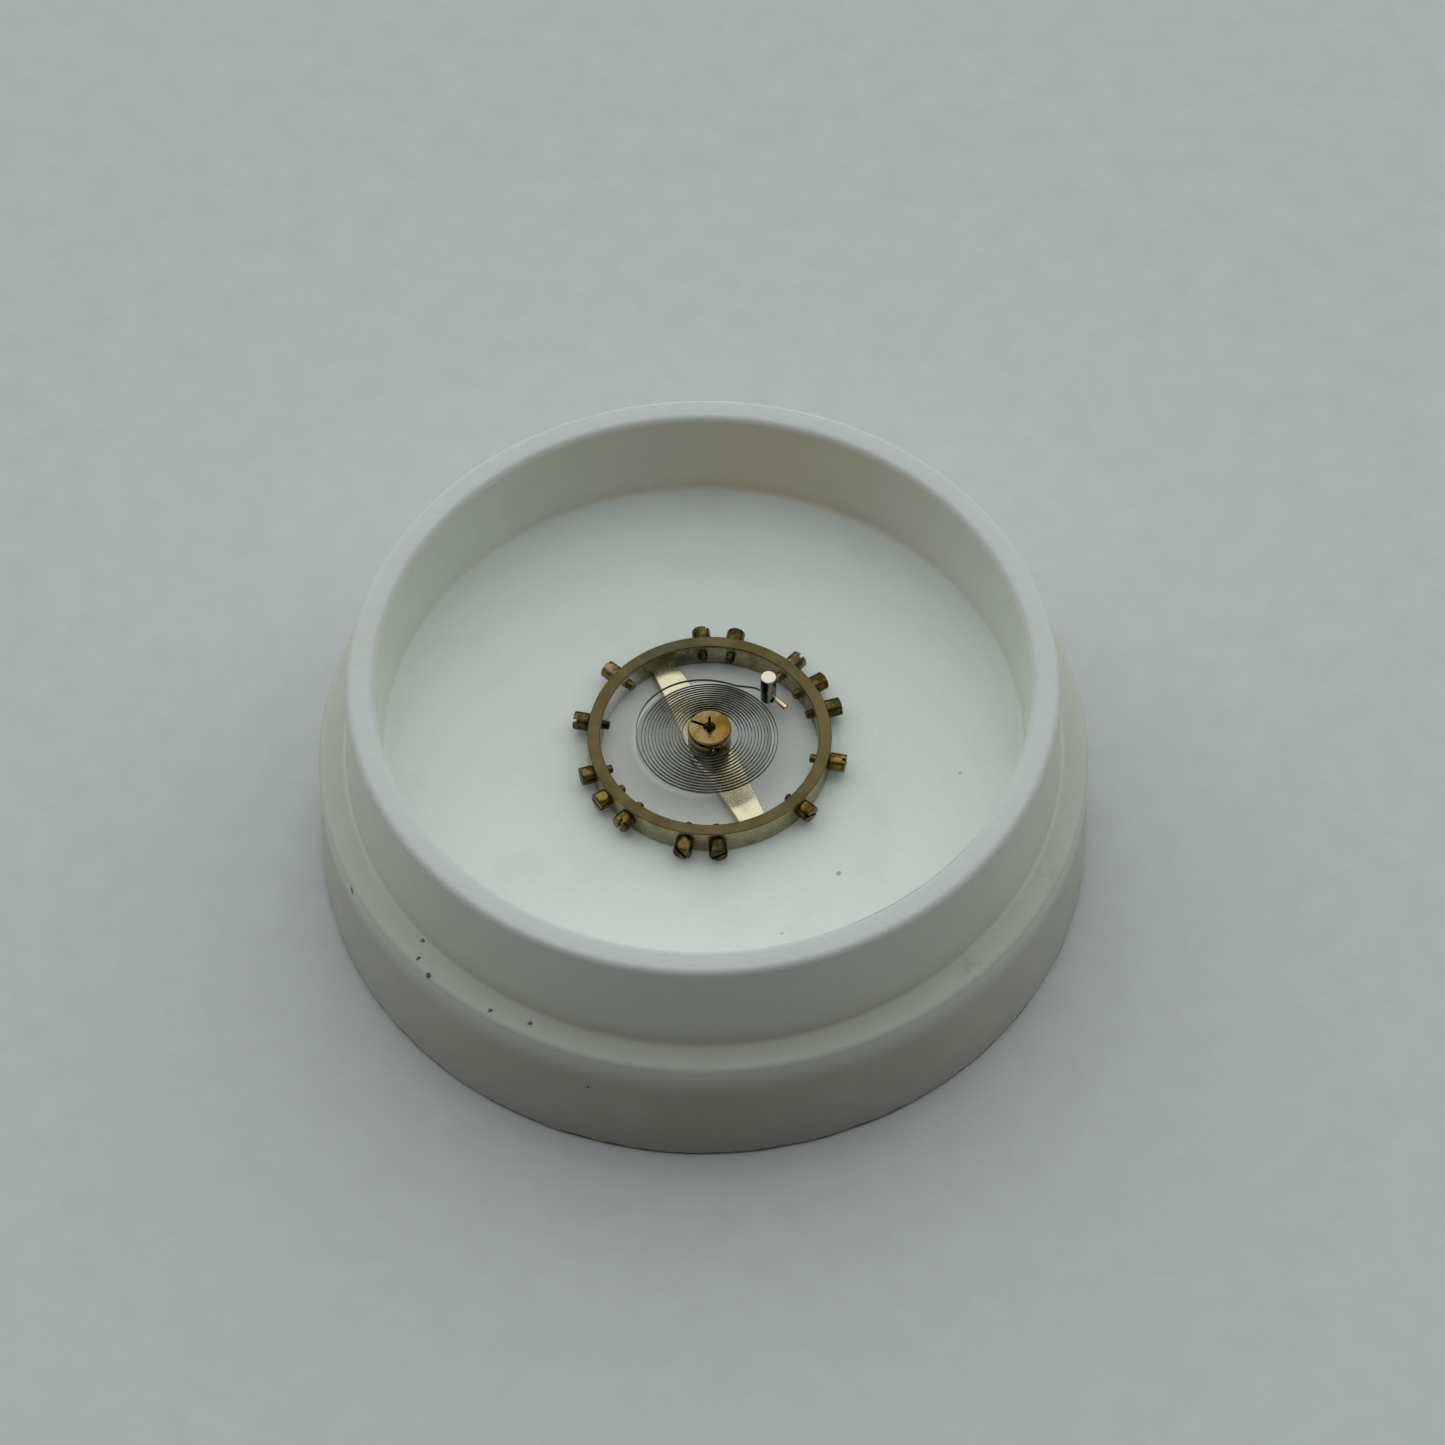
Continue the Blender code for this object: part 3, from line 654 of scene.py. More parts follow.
def outer_colour(tree, where, radius, height):
    """The outside: painted shade on the base, a greyer painted shade on the ledge above it, and a
    painted contact shadow along the foot's outer edge.
    """
    # Painted shade: the base darkens towards its bottom all round, and more at the front.
    base = remap_mm(tree, height, *BASE_LEVELS)
    front_shade = remap(tree, base, 0.0, 1.0, *FRONT_SHADE_SHARES)
    front_shade = times(tree, near(tree, where, POT, FRONT_SHADE_PATCH), front_shade)
    painted_shade = maths(tree, "ADD", times(tree, base, BASE_SHADE_SHARE), front_shade)
    outer = mixed(tree, painted_shade, OUTER_PLASTIC, BASE_SHADE_COLOUR)
    # The ledge at the neck's foot gets painted shade.
    on_ledge = times(
        tree,
        remap_mm(tree, radius, *LEDGE_RADII),
        remap_mm(tree, height, *LEDGE_LEVELS),
    )
    outer = mixed(tree, on_ledge, outer, LEDGE_PAINTED_SHADE)
    # A ragged painted contact shadow along the foot's outer edge.
    ragged_height = height_of(tree, wobbled(tree, where, 1.5, 0.25))
    contact_shadow = times(
        tree,
        remap_mm(tree, radius, *FOOT_RADII),
        remap_mm(tree, ragged_height, *FOOT_LEVELS),
    )
    return mixed(tree, contact_shadow, outer, FOOT_CONTACT_SHADOW)


def mouth_line(tree, where, radius, height):
    """A fine, broken dark line along the inner edge of the lip, at the front right."""
    low, high, edge = MOUTH_LINE_LOW, MOUTH_LINE_HIGH, MOUTH_LINE_EDGE
    return times(
        tree,
        remap_mm(tree, height, low - edge, low + edge),
        remap_mm(tree, height, high + edge, high - edge),
        remap_mm(tree, radius, *MOUTH_LINE_RADII),
        near(tree, where, POT, MOUTH_LINE_RUN),
        remap(tree, grain(tree, where, 1.5), 0.35, 0.6, 0.3, 0.9),
    )


def marked(tree, where, colour):
    """The plastic's colour with its scuffs and specks."""
    ragged = wobbled(tree, where, 6.0, 0.30)
    patchy = remap(tree, grain(tree, where, 2.0), 0.45, 0.6, 0.0, 0.5)
    scuffed = times(tree, near_any(tree, ragged, POT, SCUFFS), patchy)
    colour = mixed(tree, scuffed, colour, DARK_MARK)
    faint = remap(tree, near_any(tree, ragged, POT, FAINT_SPECKS), 0.25, 0.6, 0.0, 0.45)
    colour = mixed(tree, faint, colour, SPECK)
    specks = remap(tree, near_any(tree, ragged, POT, SPECKS), 0.25, 0.6, 0.0, 0.9)
    return mixed(tree, specks, colour, SPECK)


def plastic_finish():
    """Matte white moulded plastic with a fine spark-eroded texture."""
    mat, tree, shader, where = new_material("moulded_white_plastic")
    tree.links.new(plastic_colour(tree, where), shader.inputs["Base Color"])
    uneven_sheen(tree, shader, where, 1.3, (0.55, 0.70))
    bump(tree, shader, grain(tree, where, 4.0, detail=4.0, roughness=0.7), 0.035)
    shader.inputs["Subsurface Weight"].default_value = 0.12
    shader.inputs["Subsurface Radius"].default_value = (1.0, 1.0, 0.9)
    shader.inputs["Subsurface Scale"].default_value = 0.4 * MM
    return mat


# ---------------------------- metals

RIM_WALL = (0.38, 0.335, 0.21)
RIM_WALL_STAIN = (0.25, 0.20, 0.105)
RIM_FACE = (0.120, 0.094, 0.043)
RIM_FACE_STAIN = (0.087, 0.070, 0.030)
# A painted highlight on the right of the rim's top face.
FACE_PAINTED_HIGHLIGHT = (0.135, 0.102, 0.042)
# A painted highlight on the inner wall at the far left.
WALL_PAINTED_HIGHLIGHT = (0.86, 0.85, 0.79)
GREEN_SALTS = (0.048, 0.060, 0.008)
RIM_FACE_LEVELS = (RIM_HEIGHT - 0.06, RIM_HEIGHT - 0.02)
# Where the two painted highlights lie.
FACE_HIGHLIGHT_PATCH = spot(12.0, RIM_OUTER_RADIUS, RIM_HEIGHT, 4.0)
WALL_HIGHLIGHT_PATCH = spot(148.0, RIM_INNER_RADIUS, RIM_HEIGHT * 0.6, 2.4)
SALTS = (
    spot(115.0, RIM_INNER_RADIUS, 0.70, 1.9),
    spot(104.0, RIM_INNER_RADIUS, 0.60, 1.5),
    spot(31.0, RIM_INNER_RADIUS, 0.60, 0.8),
    spot(20.0, RIM_INNER_RADIUS, 0.55, 0.8),
)

STRIP_SIDE = (0.115, 0.108, 0.09)
STRIP_SIDE_STREAK = (0.07, 0.063, 0.045)
# Painted shade: the strip's up-facing edges are darker than its sides.
STRIP_EDGE = (0.085, 0.083, 0.075)
STRIP_EDGE_STREAK = (0.04, 0.038, 0.03)
# A painted highlight on the edges of the inner coils at the back.
STRIP_PAINTED_HIGHLIGHT = (0.50, 0.50, 0.46)
INNER_COIL_RADII = (3.00, 2.92)
COIL_HIGHLIGHT_PATCH = spot(104.0, 2.75, 0.95, 1.7)

STUD_SIDE = (0.46, 0.43, 0.35)
STUD_MARK = (0.25, 0.225, 0.17)
# A painted dark reflection on the stud's flank.
STUD_DARK_REFLECTION = (0.012, 0.012, 0.014)
STUD_END = (0.66, 0.62, 0.51)
STUD_END_LEVELS = (STUD_TOP - 0.10, STUD_TOP - 0.03)
STUD_FLANK_AZIMUTH = math.radians(205.0)

GILT = (0.29, 0.21, 0.095)
GILT_DULL = (0.20, 0.135, 0.045)
GILT_ORANGE = (0.255, 0.15, 0.02)
GILT_ORANGE_DULL = (0.15, 0.08, 0.008)
# A painted reflection of the bright floor and coils on the collet's wall below its top.
COLLET_WALL_REFLECTION = (0.52, 0.36, 0.14)
# Painted shade at the collet's foot, down among the coils.
COLLET_FOOT_SHADE = (0.03, 0.018, 0.005)
ORANGE = (Vector((0.85, -0.05, COLLET_TOP)), 1.5)
COLLET_REFLECTION_LEVELS = (1.69, 1.62)
COLLET_FOOT_SHADE_LEVELS = (1.45, 1.15)


def metal_finish(name, clean, stained, stain_range, roughness, stain_scale=1.6):
    """Worn metal: clean colour broken by stains, with uneven polish and fine scratches."""
    mat, tree, shader, where = new_material(name)
    blotches = grain(tree, where, stain_scale, detail=5.0, roughness=0.62)
    colour = mixed(tree, remap(tree, blotches, *stain_range), clean, stained)
    tree.links.new(colour, shader.inputs["Base Color"])
    uneven_sheen(tree, shader, where, 5.0, roughness)
    bump(tree, shader, grain(tree, where, 14.0), 0.002)
    shader.inputs["Metallic"].default_value = 1.0
    return mat


def above_balance(tree, where):
    """How high a place is above the underside of the rim."""
    return maths(tree, "SUBTRACT", height_of(tree, where), BALANCE.z)


def rim_colour(tree, where):
    """Brown and dull on the rim's top face, with a painted highlight on its right, and cleaner on
    its walls, with a painted highlight on the inner wall at the far left.
    """
    blotches = grain(tree, where, 1.1, detail=5.0, roughness=0.6)
    walls = mixed(tree, remap(tree, blotches, 0.45, 0.70), RIM_WALL, RIM_WALL_STAIN)
    face = mixed(tree, remap(tree, blotches, 0.35, 0.65), RIM_FACE, RIM_FACE_STAIN)
    # A painted highlight on the right of the top face.
    face = mixed(tree, near(tree, where, BALANCE, FACE_HIGHLIGHT_PATCH), face, FACE_PAINTED_HIGHLIGHT)
    on_face = remap_mm(tree, above_balance(tree, where), *RIM_FACE_LEVELS)
    metal = mixed(tree, on_face, walls, face)
    on_wall = remap(tree, on_face, 0.0, 0.4, 1.0, 0.0)
    # A painted highlight on the inner wall.
    polished = times(tree, near(tree, where, BALANCE, WALL_HIGHLIGHT_PATCH), on_wall)
    return mixed(tree, polished, metal, WALL_PAINTED_HIGHLIGHT)


def rim_finish():
    """Tarnished yellow-grey alloy, with green salts by the arm's far end and two screws' tips."""
    mat, tree, shader, where = new_material("tarnished_rim")
    crumbs = remap(tree, grain(tree, where, 3.0, detail=4.0), 0.30, 0.52)
    salts = times(tree, near_any(tree, where, BALANCE, SALTS), crumbs)
    colour = mixed(tree, salts, rim_colour(tree, where), GREEN_SALTS)
    tree.links.new(colour, shader.inputs["Base Color"])
    tree.links.new(remap(tree, salts, 0.1, 0.9, 1.0, 0.1), shader.inputs["Metallic"])
    uneven_sheen(tree, shader, where, 4.0, (0.24, 0.38))
    bump(tree, shader, grain(tree, where, 8.0, detail=4.0), 0.004)
    return mat


def spring_finish():
    """Blued-grey strip steel, whose rolled edges are painted darker than its sides as painted
    shade, with a painted highlight at the back of the inner coils.
    """
    mat, tree, shader, where = new_material("spring_steel")
    streaks = remap(tree, grain(tree, where, 2.0, detail=4.0), 0.35, 0.65)
    side = mixed(tree, streaks, STRIP_SIDE, STRIP_SIDE_STREAK)
    edge = mixed(tree, streaks, STRIP_EDGE, STRIP_EDGE_STREAK)
    radius = radius_of(tree, vector_maths(tree, "SUBTRACT", where, BALANCE)["Vector"])
    inner_coils = remap_mm(tree, radius, *INNER_COIL_RADII)
    # A painted highlight on the inner coils' edges at the back.
    polished = times(tree, near(tree, where, BALANCE, COIL_HIGHLIGHT_PATCH), inner_coils)
    edge = mixed(tree, polished, edge, STRIP_PAINTED_HIGHLIGHT)
    # Painted shade: faces that point up get the darker edge colour.
    normal = add(tree, "ShaderNodeNewGeometry").outputs["Normal"]
    on_edge = remap(tree, height_of(tree, normal), 0.3, 0.8)
    tree.links.new(mixed(tree, on_edge, side, edge), shader.inputs["Base Color"])
    tree.links.new(remap(tree, streaks, 0.0, 1.0, 0.16, 0.28), shader.inputs["Roughness"])
    shader.inputs["Metallic"].default_value = 1.0
    return mat


def stud_flank(tree, where):
    """1 on the side of the stud towards the staff, falling to 0 round the rest."""
    axis = BALANCE + polar(STUD_DISTANCE, STUD_AZIMUTH) * MM
    offset = vector_maths(tree, "SUBTRACT", where, axis)["Vector"]
    level = vector_maths(tree, "MULTIPLY", offset, (1.0, 1.0, 0.0))["Vector"]
    outward = vector_maths(tree, "NORMALIZE", level)["Vector"]
    flank = polar(1.0, STUD_FLANK_AZIMUTH)
    return remap(tree, vector_maths(tree, "DOT_PRODUCT", outward, flank)["Value"], 0.38, 0.58)


def stud_finish():
    """Polished steel: bright on the stud's upper end, with a painted dark reflection on its flank.
    """
    mat, tree, shader, where = new_material("stud_steel")
    marks = remap(tree, grain(tree, where, 3.0, detail=4.0), 0.40, 0.65)
    side = mixed(tree, marks, STUD_SIDE, STUD_MARK)
    # A painted dark reflection on the flank.
    side = mixed(tree, stud_flank(tree, where), side, STUD_DARK_REFLECTION)
    on_end = remap_mm(tree, above_balance(tree, where), *STUD_END_LEVELS)
    tree.links.new(mixed(tree, on_end, side, STUD_END), shader.inputs["Base Color"])
    tree.links.new(remap(tree, marks, 0.0, 1.0, 0.06, 0.14), shader.inputs["Roughness"])
    bump(tree, shader, grain(tree, where, 10.0), 0.002)
    shader.inputs["Metallic"].default_value = 1.0
    return mat


def collet_finish():
    """Gilt brass: pale on one side, orange on the other, with a painted reflection below its top
    and painted shade at its foot.
    """
    mat, tree, shader, where = new_material("gilt_collet")
    orange = near(tree, where, BALANCE, ORANGE)
    blotches = remap(tree, grain(tree, where, 2.2, detail=4.0), 0.42, 0.62)
    clean = mixed(tree, orange, GILT, GILT_ORANGE)
    dull = mixed(tree, orange, GILT_DULL, GILT_ORANGE_DULL)
    colour = mixed(tree, blotches, clean, dull)
    height = above_balance(tree, where)
    # A painted reflection on the wall below the top.
    on_wall = remap_mm(tree, height, *COLLET_REFLECTION_LEVELS, 0.0, 0.85)
    colour = mixed(tree, on_wall, colour, COLLET_WALL_REFLECTION)
    # Painted shade at the foot.
    foot_shade = remap_mm(tree, height, *COLLET_FOOT_SHADE_LEVELS, 0.0, 0.92)
    colour = mixed(tree, foot_shade, colour, COLLET_FOOT_SHADE)
    tree.links.new(colour, shader.inputs["Base Color"])
    uneven_sheen(tree, shader, where, 5.0, (0.16, 0.28))
    bump(tree, shader, grain(tree, where, 9.0), 0.003)
    shader.inputs["Metallic"].default_value = 1.0
    return mat


# ---------------------------- pot


def dish_corners():
    """The dish in the pot's floor, a shallow part of a sphere, from its edge to the axis."""
    sphere_radius = (DISH_RADIUS**2 + DISH_DEPTH**2) / (2 * DISH_DEPTH)
    edge_angle = math.asin(DISH_RADIUS / sphere_radius)
    centre = FLOOR_HEIGHT - DISH_DEPTH + sphere_radius
    corners = [(DISH_RADIUS, FLOOR_HEIGHT, 0.0)]
    for i in range(1, DISH_STEPS + 1):
        angle = edge_angle * (1.0 - i / DISH_STEPS)
        height = centre - sphere_radius * math.cos(angle)
        corners.append((sphere_radius * math.sin(angle), height, 0.0))
    return corners


def pot_corners():
    """The pot's section, from the axis under the boss, round the outside and into the well."""
    edge = POT_EDGE_ROUNDING
    lip = LIP_ROUNDING
    return [
        (0.0, BOSS_FOOT, 0.0),
        (BOSS_RADIUS, BOSS_FOOT, BOSS_ROUNDING),
        (BOSS_RADIUS + BOSS_DRAFT, CEILING_HEIGHT, BOSS_ROOT_ROUNDING),
        (CEILING_RADIUS, CEILING_HEIGHT, edge),
        (SKIRT_INNER_RADIUS, 0.0, SKIRT_FOOT_ROUNDING),
        (BASE_RADIUS, 0.0, BASE_FOOT_ROUNDING),
        (SHOULDER_RADIUS, SHOULDER_HEIGHT, edge),
        (NECK_FOOT_RADIUS, SHOULDER_HEIGHT, edge),
        (LIP_RADIUS, POT_HEIGHT, lip),
        (WELL_MOUTH_RADIUS, POT_HEIGHT, lip),
        (WELL_FLOOR_RADIUS, FLOOR_HEIGHT, edge),
    ] + dish_corners()


def wear_foot(bm):
    """Nicks the pot's lower outer edge, which is ragged where the moulding was trimmed."""
    for vert in bm.verts:
        if vert.co.z < FOOT_WEAR_HEIGHT and vert.co.xy.length > FOOT_WEAR_RADIUS:
            wear = max(0.0, noise.noise(vert.co * FOOT_WEAR_WAVES) + FOOT_WEAR_BIAS)
            vert.co.xy *= 1.0 - wear * FOOT_WEAR / BASE_RADIUS


def make_pot():
    bm = turned(rounded(pot_corners(), steps=8), POT_STEPS, closed=False)
    wear_foot(bm)
    pot = raw_object("pot_moulding", bm, plastic_finish(), TO_POT)
    settle(pot, "pot", "storage_pot")


# ---------------------------- wheel


def arm_half_width(distance):
    """The arm is widest at the staff and narrows towards the rim."""
    inward = max(0.0, 1.0 - distance / RIM_INNER_RADIUS)
    return ARM_TIP_HALF_WIDTH + ARM_SWELL * inward**ARM_SWELL_POWER


def arm_bmesh():
    """Both halves of the arm, along X, ending inside the rim, with their edges eased."""
    reach = (RIM_INNER_RADIUS + RIM_OUTER_RADIUS) / 2
    stations = [reach * (2 * i / ARM_STATIONS - 1.0) for i in range(ARM_STATIONS + 1)]
    one_side = [(x, arm_half_width(abs(x))) for x in stations]
    other_side = [(x, -y) for x, y in reversed(one_side)]
    bm = bmesh.new()
    face = bm.faces.new([bm.verts.new((x, y, ARM_UNDERSIDE)) for x, y in one_side + other_side])
    raised = bmesh.ops.extrude_face_region(bm, geom=[face])["geom"]
    upper = [item for item in raised if isinstance(item, bmesh.types.BMVert)]
    bmesh.ops.translate(bm, vec=(0.0, 0.0, ARM_TOP - ARM_UNDERSIDE), verts=upper)
    bmesh.ops.recalc_face_normals(bm, faces=bm.faces)
    long_edges = [e for e in bm.edges if abs(e.verts[0].co.z - e.verts[1].co.z) < 1e-6]
    bmesh.ops.bevel(bm, geom=long_edges, offset=ARM_BEVEL, segments=2, affect="EDGES", profile=0.6)
    return bm


def screw_azimuths():
    """The azimuth of each screw: seven, then the same seven half a turn on."""
    for half in (0.0, math.pi):
        for station in SCREW_STATIONS:
            yield SCREW_GAP_AZIMUTH + half + station * HOLE_PITCH


def hole_cutters(finish):
    """Rods that cut the tapped holes through the rim, as one object."""
    start = RIM_INNER_RADIUS - TAPPED_HOLE_MARGIN
    end = RIM_OUTER_RADIUS + TAPPED_HOLE_MARGIN
    holes = []
    for azimuth in screw_azimuths():
        hole = rod(TAPPED_HOLE_RADIUS, start, end, HOLE_STEPS)
        place(hole, turn(azimuth) @ Matrix.Translation((0.0, 0.0, SCREW_AXIS_HEIGHT)))
        holes.append(hole)
    return raw_object("holes", joined(holes), finish, TO_BALANCE)


def make_wheel():
    corners = [
        (RIM_INNER_RADIUS, 0.0, RIM_FOOT_ROUNDING),
        (RIM_OUTER_RADIUS, 0.0, RIM_FOOT_ROUNDING),
        (RIM_OUTER_RADIUS, RIM_HEIGHT, RIM_OUTER_ROUNDING),
        (RIM_INNER_RADIUS, RIM_HEIGHT, RIM_INNER_ROUNDING),
    ]
    rim_alloy = rim_finish()
    arm_metal = metal_finish(
        "bright_arm",
        clean=(0.69, 0.64, 0.45),
        stained=(0.54, 0.49, 0.32),
        stain_range=(0.45, 0.75),
        roughness=(0.16, 0.28),
        stain_scale=1.0,
    )
    wheel = turned_ring("wheel_rim_and_arm", corners, RIM_STEPS, rim_alloy)
    arm = arm_bmesh()
    place(arm, turn(ARM_AZIMUTH))
    combined(wheel, [raw_object("arm", arm, arm_metal, TO_BALANCE)], "UNION")
    bore = pillar(ARM_BORE_RADIUS, -1.0, 1.0, SCREW_STEPS)
    bore = raw_object("bore", bore, arm_metal, TO_BALANCE)
    combined(wheel, [bore, hole_cutters(rim_alloy)], "DIFFERENCE")
    settle(wheel, "balance", "balance_wheel")


# ---------------------------- timing screws

# Four brasses: clean colour, stained colour, range of the stains, roughness, scale of the stains.
SCREW_METALS = {
    "dark": ((0.13, 0.105, 0.04), (0.035, 0.028, 0.009), (0.36, 0.58), (0.20, 0.36), 2.4),
    "brown": ((0.19, 0.130, 0.045), (0.05, 0.031, 0.007), (0.36, 0.60), (0.20, 0.36), 2.2),
    "golden": ((0.27, 0.175, 0.045), (0.075, 0.047, 0.010), (0.40, 0.62), (0.16, 0.32), 2.0),
    "rosy": ((0.29, 0.21, 0.11), (0.09, 0.063, 0.028), (0.38, 0.60), (0.18, 0.32), 2.1),
}
# Each screw's slot angle in degrees and its brass.
SCREW_LOOKS = (
    (40.0, "dark"),
    (95.0, "dark"),
    (20.0, "rosy"),
    (150.0, "brown"),
    (75.0, "dark"),
    (10.0, "golden"),
    (60.0, "golden"),
    (120.0, "dark"),
    (35.0, "brown"),
    (170.0, "golden"),
    (85.0, "golden"),
    (50.0, "brown"),
    (140.0, "dark"),
    (15.0, "rosy"),
)


def screw_corners(outer_end):
    """A screw's section along its axis: a threaded shank, then the head."""
    corners = [(0.0, SHANK_TIP, 0.0), (THREAD_RADIUS - SHANK_CHAMFER, SHANK_TIP, 0.0)]
    crests = int((HEAD_INNER_END - SHANK_TIP - 2 * THREAD_LEAD) / THREAD_PITCH)
    for i in range(crests):
        along = SHANK_TIP + THREAD_LEAD + i * THREAD_PITCH
        corners.append((THREAD_RADIUS - THREAD_DEPTH, along, 0.0))
        corners.append((THREAD_RADIUS, along + THREAD_PITCH / 2, 0.0))
    corners += [
        (THREAD_RADIUS - THREAD_DEPTH, HEAD_INNER_END, 0.0),
        (HEAD_RADIUS, HEAD_INNER_END, FINE_ROUNDING),
        (HEAD_RADIUS, outer_end, HEAD_ROUNDING),
        (0.0, outer_end, 0.0),
    ]
    return corners


def make_screw(number, azimuth, slot_angle, finish):
    outer_end = TRIMMED_HEAD_OUTER_END if number in TRIMMED_SCREWS else HEAD_OUTER_END
    blank = along_x(turned(rounded(screw_corners(outer_end)), SCREW_STEPS, closed=False))
    half = SLOT_WIDTH / 2
    slot = block((outer_end - SLOT_DEPTH, -half, -1.0), (outer_end + 0.5, half, 1.0))
    lie = turn(azimuth) @ Matrix.Translation((0.0, 0.0, SCREW_AXIS_HEIGHT))
    lie = lie @ Matrix.Rotation(math.radians(slot_angle), 4, "X")
    place(blank, lie)
    place(slot, lie)
    name = f"slotted_screw_{number:02d}"
    screw = raw_object(name, blank, finish, TO_BALANCE)
    cut(screw, "slot", slot)
    settle(screw, "balance", f"timing_screw_{number:02d}")


def make_screws():
    finishes = {}
    for metal, looks in SCREW_METALS.items():
        finishes[metal] = metal_finish(f"screw_{metal}", *looks)
    stations = zip(screw_azimuths(), SCREW_LOOKS)
    for number, (azimuth, (slot_angle, metal)) in enumerate(stations, start=1):
        make_screw(number, azimuth, slot_angle, finishes[metal])


# ---------------------------- staff, collet and rollers


def staff_corners():
    collet_shoulder = COLLET_FOOT - RUNNING_GAP
    hub_foot = ARM_TOP + RUNNING_GAP
    rivet_top = ARM_UNDERSIDE - RUNNING_GAP
    return [
        (0.0, UPPER_TIP, 0.0),
        (PIVOT_RADIUS, UPPER_TIP, EDGE_ROUNDING),
        (PIVOT_RADIUS, UPPER_PIVOT_ROOT, 0.0),
        (CONE_RADIUS, UPPER_CONE_HEIGHT, 0.05),
        (NECK_RADIUS, NECK_TOP, FINE_ROUNDING),
        (NECK_RADIUS, NECK_FOOT, 0.0),
        (COLLET_SEAT_RADIUS, COLLET_SEAT_TOP, 0.0),
        (COLLET_SEAT_RADIUS, collet_shoulder, 0.0),
        (HUB_RADIUS, collet_shoulder, FINE_ROUNDING),
        (HUB_RADIUS, hub_foot, FINE_ROUNDING),
        (WHEEL_SEAT_RADIUS, hub_foot, 0.0),
        (WHEEL_SEAT_RADIUS, rivet_top, 0.0),
        (RIVET_RADIUS, rivet_top, 0.0),
        (RIVET_RADIUS, RIVET_FOOT, EDGE_ROUNDING),
        (ROLLER_SEAT_RADIUS, ROLLER_SEAT_TOP, 0.0),
        (ROLLER_SEAT_RADIUS, ROLLER_SEAT_FOOT, FINE_ROUNDING),
        (CONE_RADIUS, LOWER_CONE_HEIGHT, EDGE_ROUNDING),
        (PIVOT_RADIUS, LOWER_PIVOT_ROOT, 0.0),
        (PIVOT_RADIUS, LOWER_TIP, EDGE_ROUNDING),
        (0.0, LOWER_TIP, 0.0),
    ]


def make_staff(steel):
    staff = turned(rounded(staff_corners()), STAFF_STEPS, closed=False)
    staff = raw_object("turned_staff", staff, steel, TO_BALANCE)
    settle(staff, "balance", "balance_staff")


def make_collet(gilt):
    """A brass ring with a slit through one side and a cross hole for the spring."""
    corners = [
        (COLLET_BORE_RADIUS, COLLET_FOOT, 0.0),
        (COLLET_RADIUS, COLLET_FOOT, EDGE_ROUNDING),
        (COLLET_RADIUS, COLLET_TOP, COLLET_ROUNDING),
        (COLLET_BORE_RADIUS, COLLET_TOP, EDGE_ROUNDING),
    ]
    collet = turned_ring("split_collet", corners, COLLET_STEPS, gilt)
    slit = block((0.0, -COLLET_SLIT_WIDTH / 2, 0.0), (2.0, COLLET_SLIT_WIDTH / 2, 2.0))
    place(slit, turn(COLLET_SLIT_AZIMUTH))
    hole = rod(COLLET_HOLE_RADIUS, -1.2, 1.2, HOLE_STEPS)
    place(hole, tangent_frame(COLLET_HOLE_AZIMUTH, COLLET_HOLE_OFFSET, COLLET_HOLE_HEIGHT))
    slit = raw_object("slit", slit, gilt, TO_BALANCE)
    hole = raw_object("hole", hole, gilt, TO_BALANCE)
    combined(collet, [slit, hole], "DIFFERENCE")
    settle(collet, "balance", "collet")


def make_collet_pin(brass):
    half = COLLET_PIN_LENGTH / 2
    pin = rod(COLLET_PIN_RADIUS, -half, half, 20, rounding=0.015)
    distance = COLLET_HOLE_OFFSET - COLLET_PIN_RADIUS - RUNNING_GAP
    place(pin, tangent_frame(COLLET_HOLE_AZIMUTH, distance, COLLET_HOLE_HEIGHT))
    pin = raw_object("collet_taper_pin", pin, brass, TO_BALANCE)
    settle(pin, "balance", "collet_pin")


def make_roller_table(steel):
    """The disc low on the staff that carries the impulse jewel."""
    corners = [
        (ROLLER_BORE_RADIUS, TABLE_HUB_FOOT, 0.0),
        (TABLE_HUB_RADIUS, TABLE_HUB_FOOT, FINE_ROUNDING),
        (TABLE_HUB_RADIUS, TABLE_UNDERSIDE, FINE_ROUNDING),
        (TABLE_RADIUS, TABLE_UNDERSIDE, EDGE_ROUNDING),
        (TABLE_RADIUS, TABLE_TOP, EDGE_ROUNDING),
        (ROLLER_BORE_RADIUS, TABLE_TOP, 0.0),
    ]
    table = turned_ring("roller_disc", corners, ROLLER_STEPS, steel)
    hole_radius = JEWEL_RADIUS + JEWEL_FIT
    hole = upright_rod(hole_radius, JEWEL_DISTANCE, ARM_AZIMUTH, -1.0, 0.0, HOLE_STEPS)
    cut(table, "jewel_hole", hole)
    settle(table, "balance", "roller_table")


def make_safety_roller(steel):
    """The small disc below the table, with the passing hollow in line with the jewel."""
    corners = [
        (ROLLER_BORE_RADIUS, SAFETY_UNDERSIDE, 0.0),
        (SAFETY_RADIUS, SAFETY_UNDERSIDE, EDGE_ROUNDING),
        (SAFETY_RADIUS, SAFETY_TOP, EDGE_ROUNDING),
        (ROLLER_BORE_RADIUS, SAFETY_TOP, 0.0),
    ]
    safety = turned_ring("safety_disc", corners, ROLLER_STEPS, steel)
    hollow_radius = PASSING_HOLLOW_RADIUS
    hollow = upright_rod(hollow_radius, SAFETY_RADIUS, ARM_AZIMUTH, -1.5, -0.5, HOLE_STEPS)
    cut(safety, "hollow", hollow)
    settle(safety, "balance", "safety_roller")


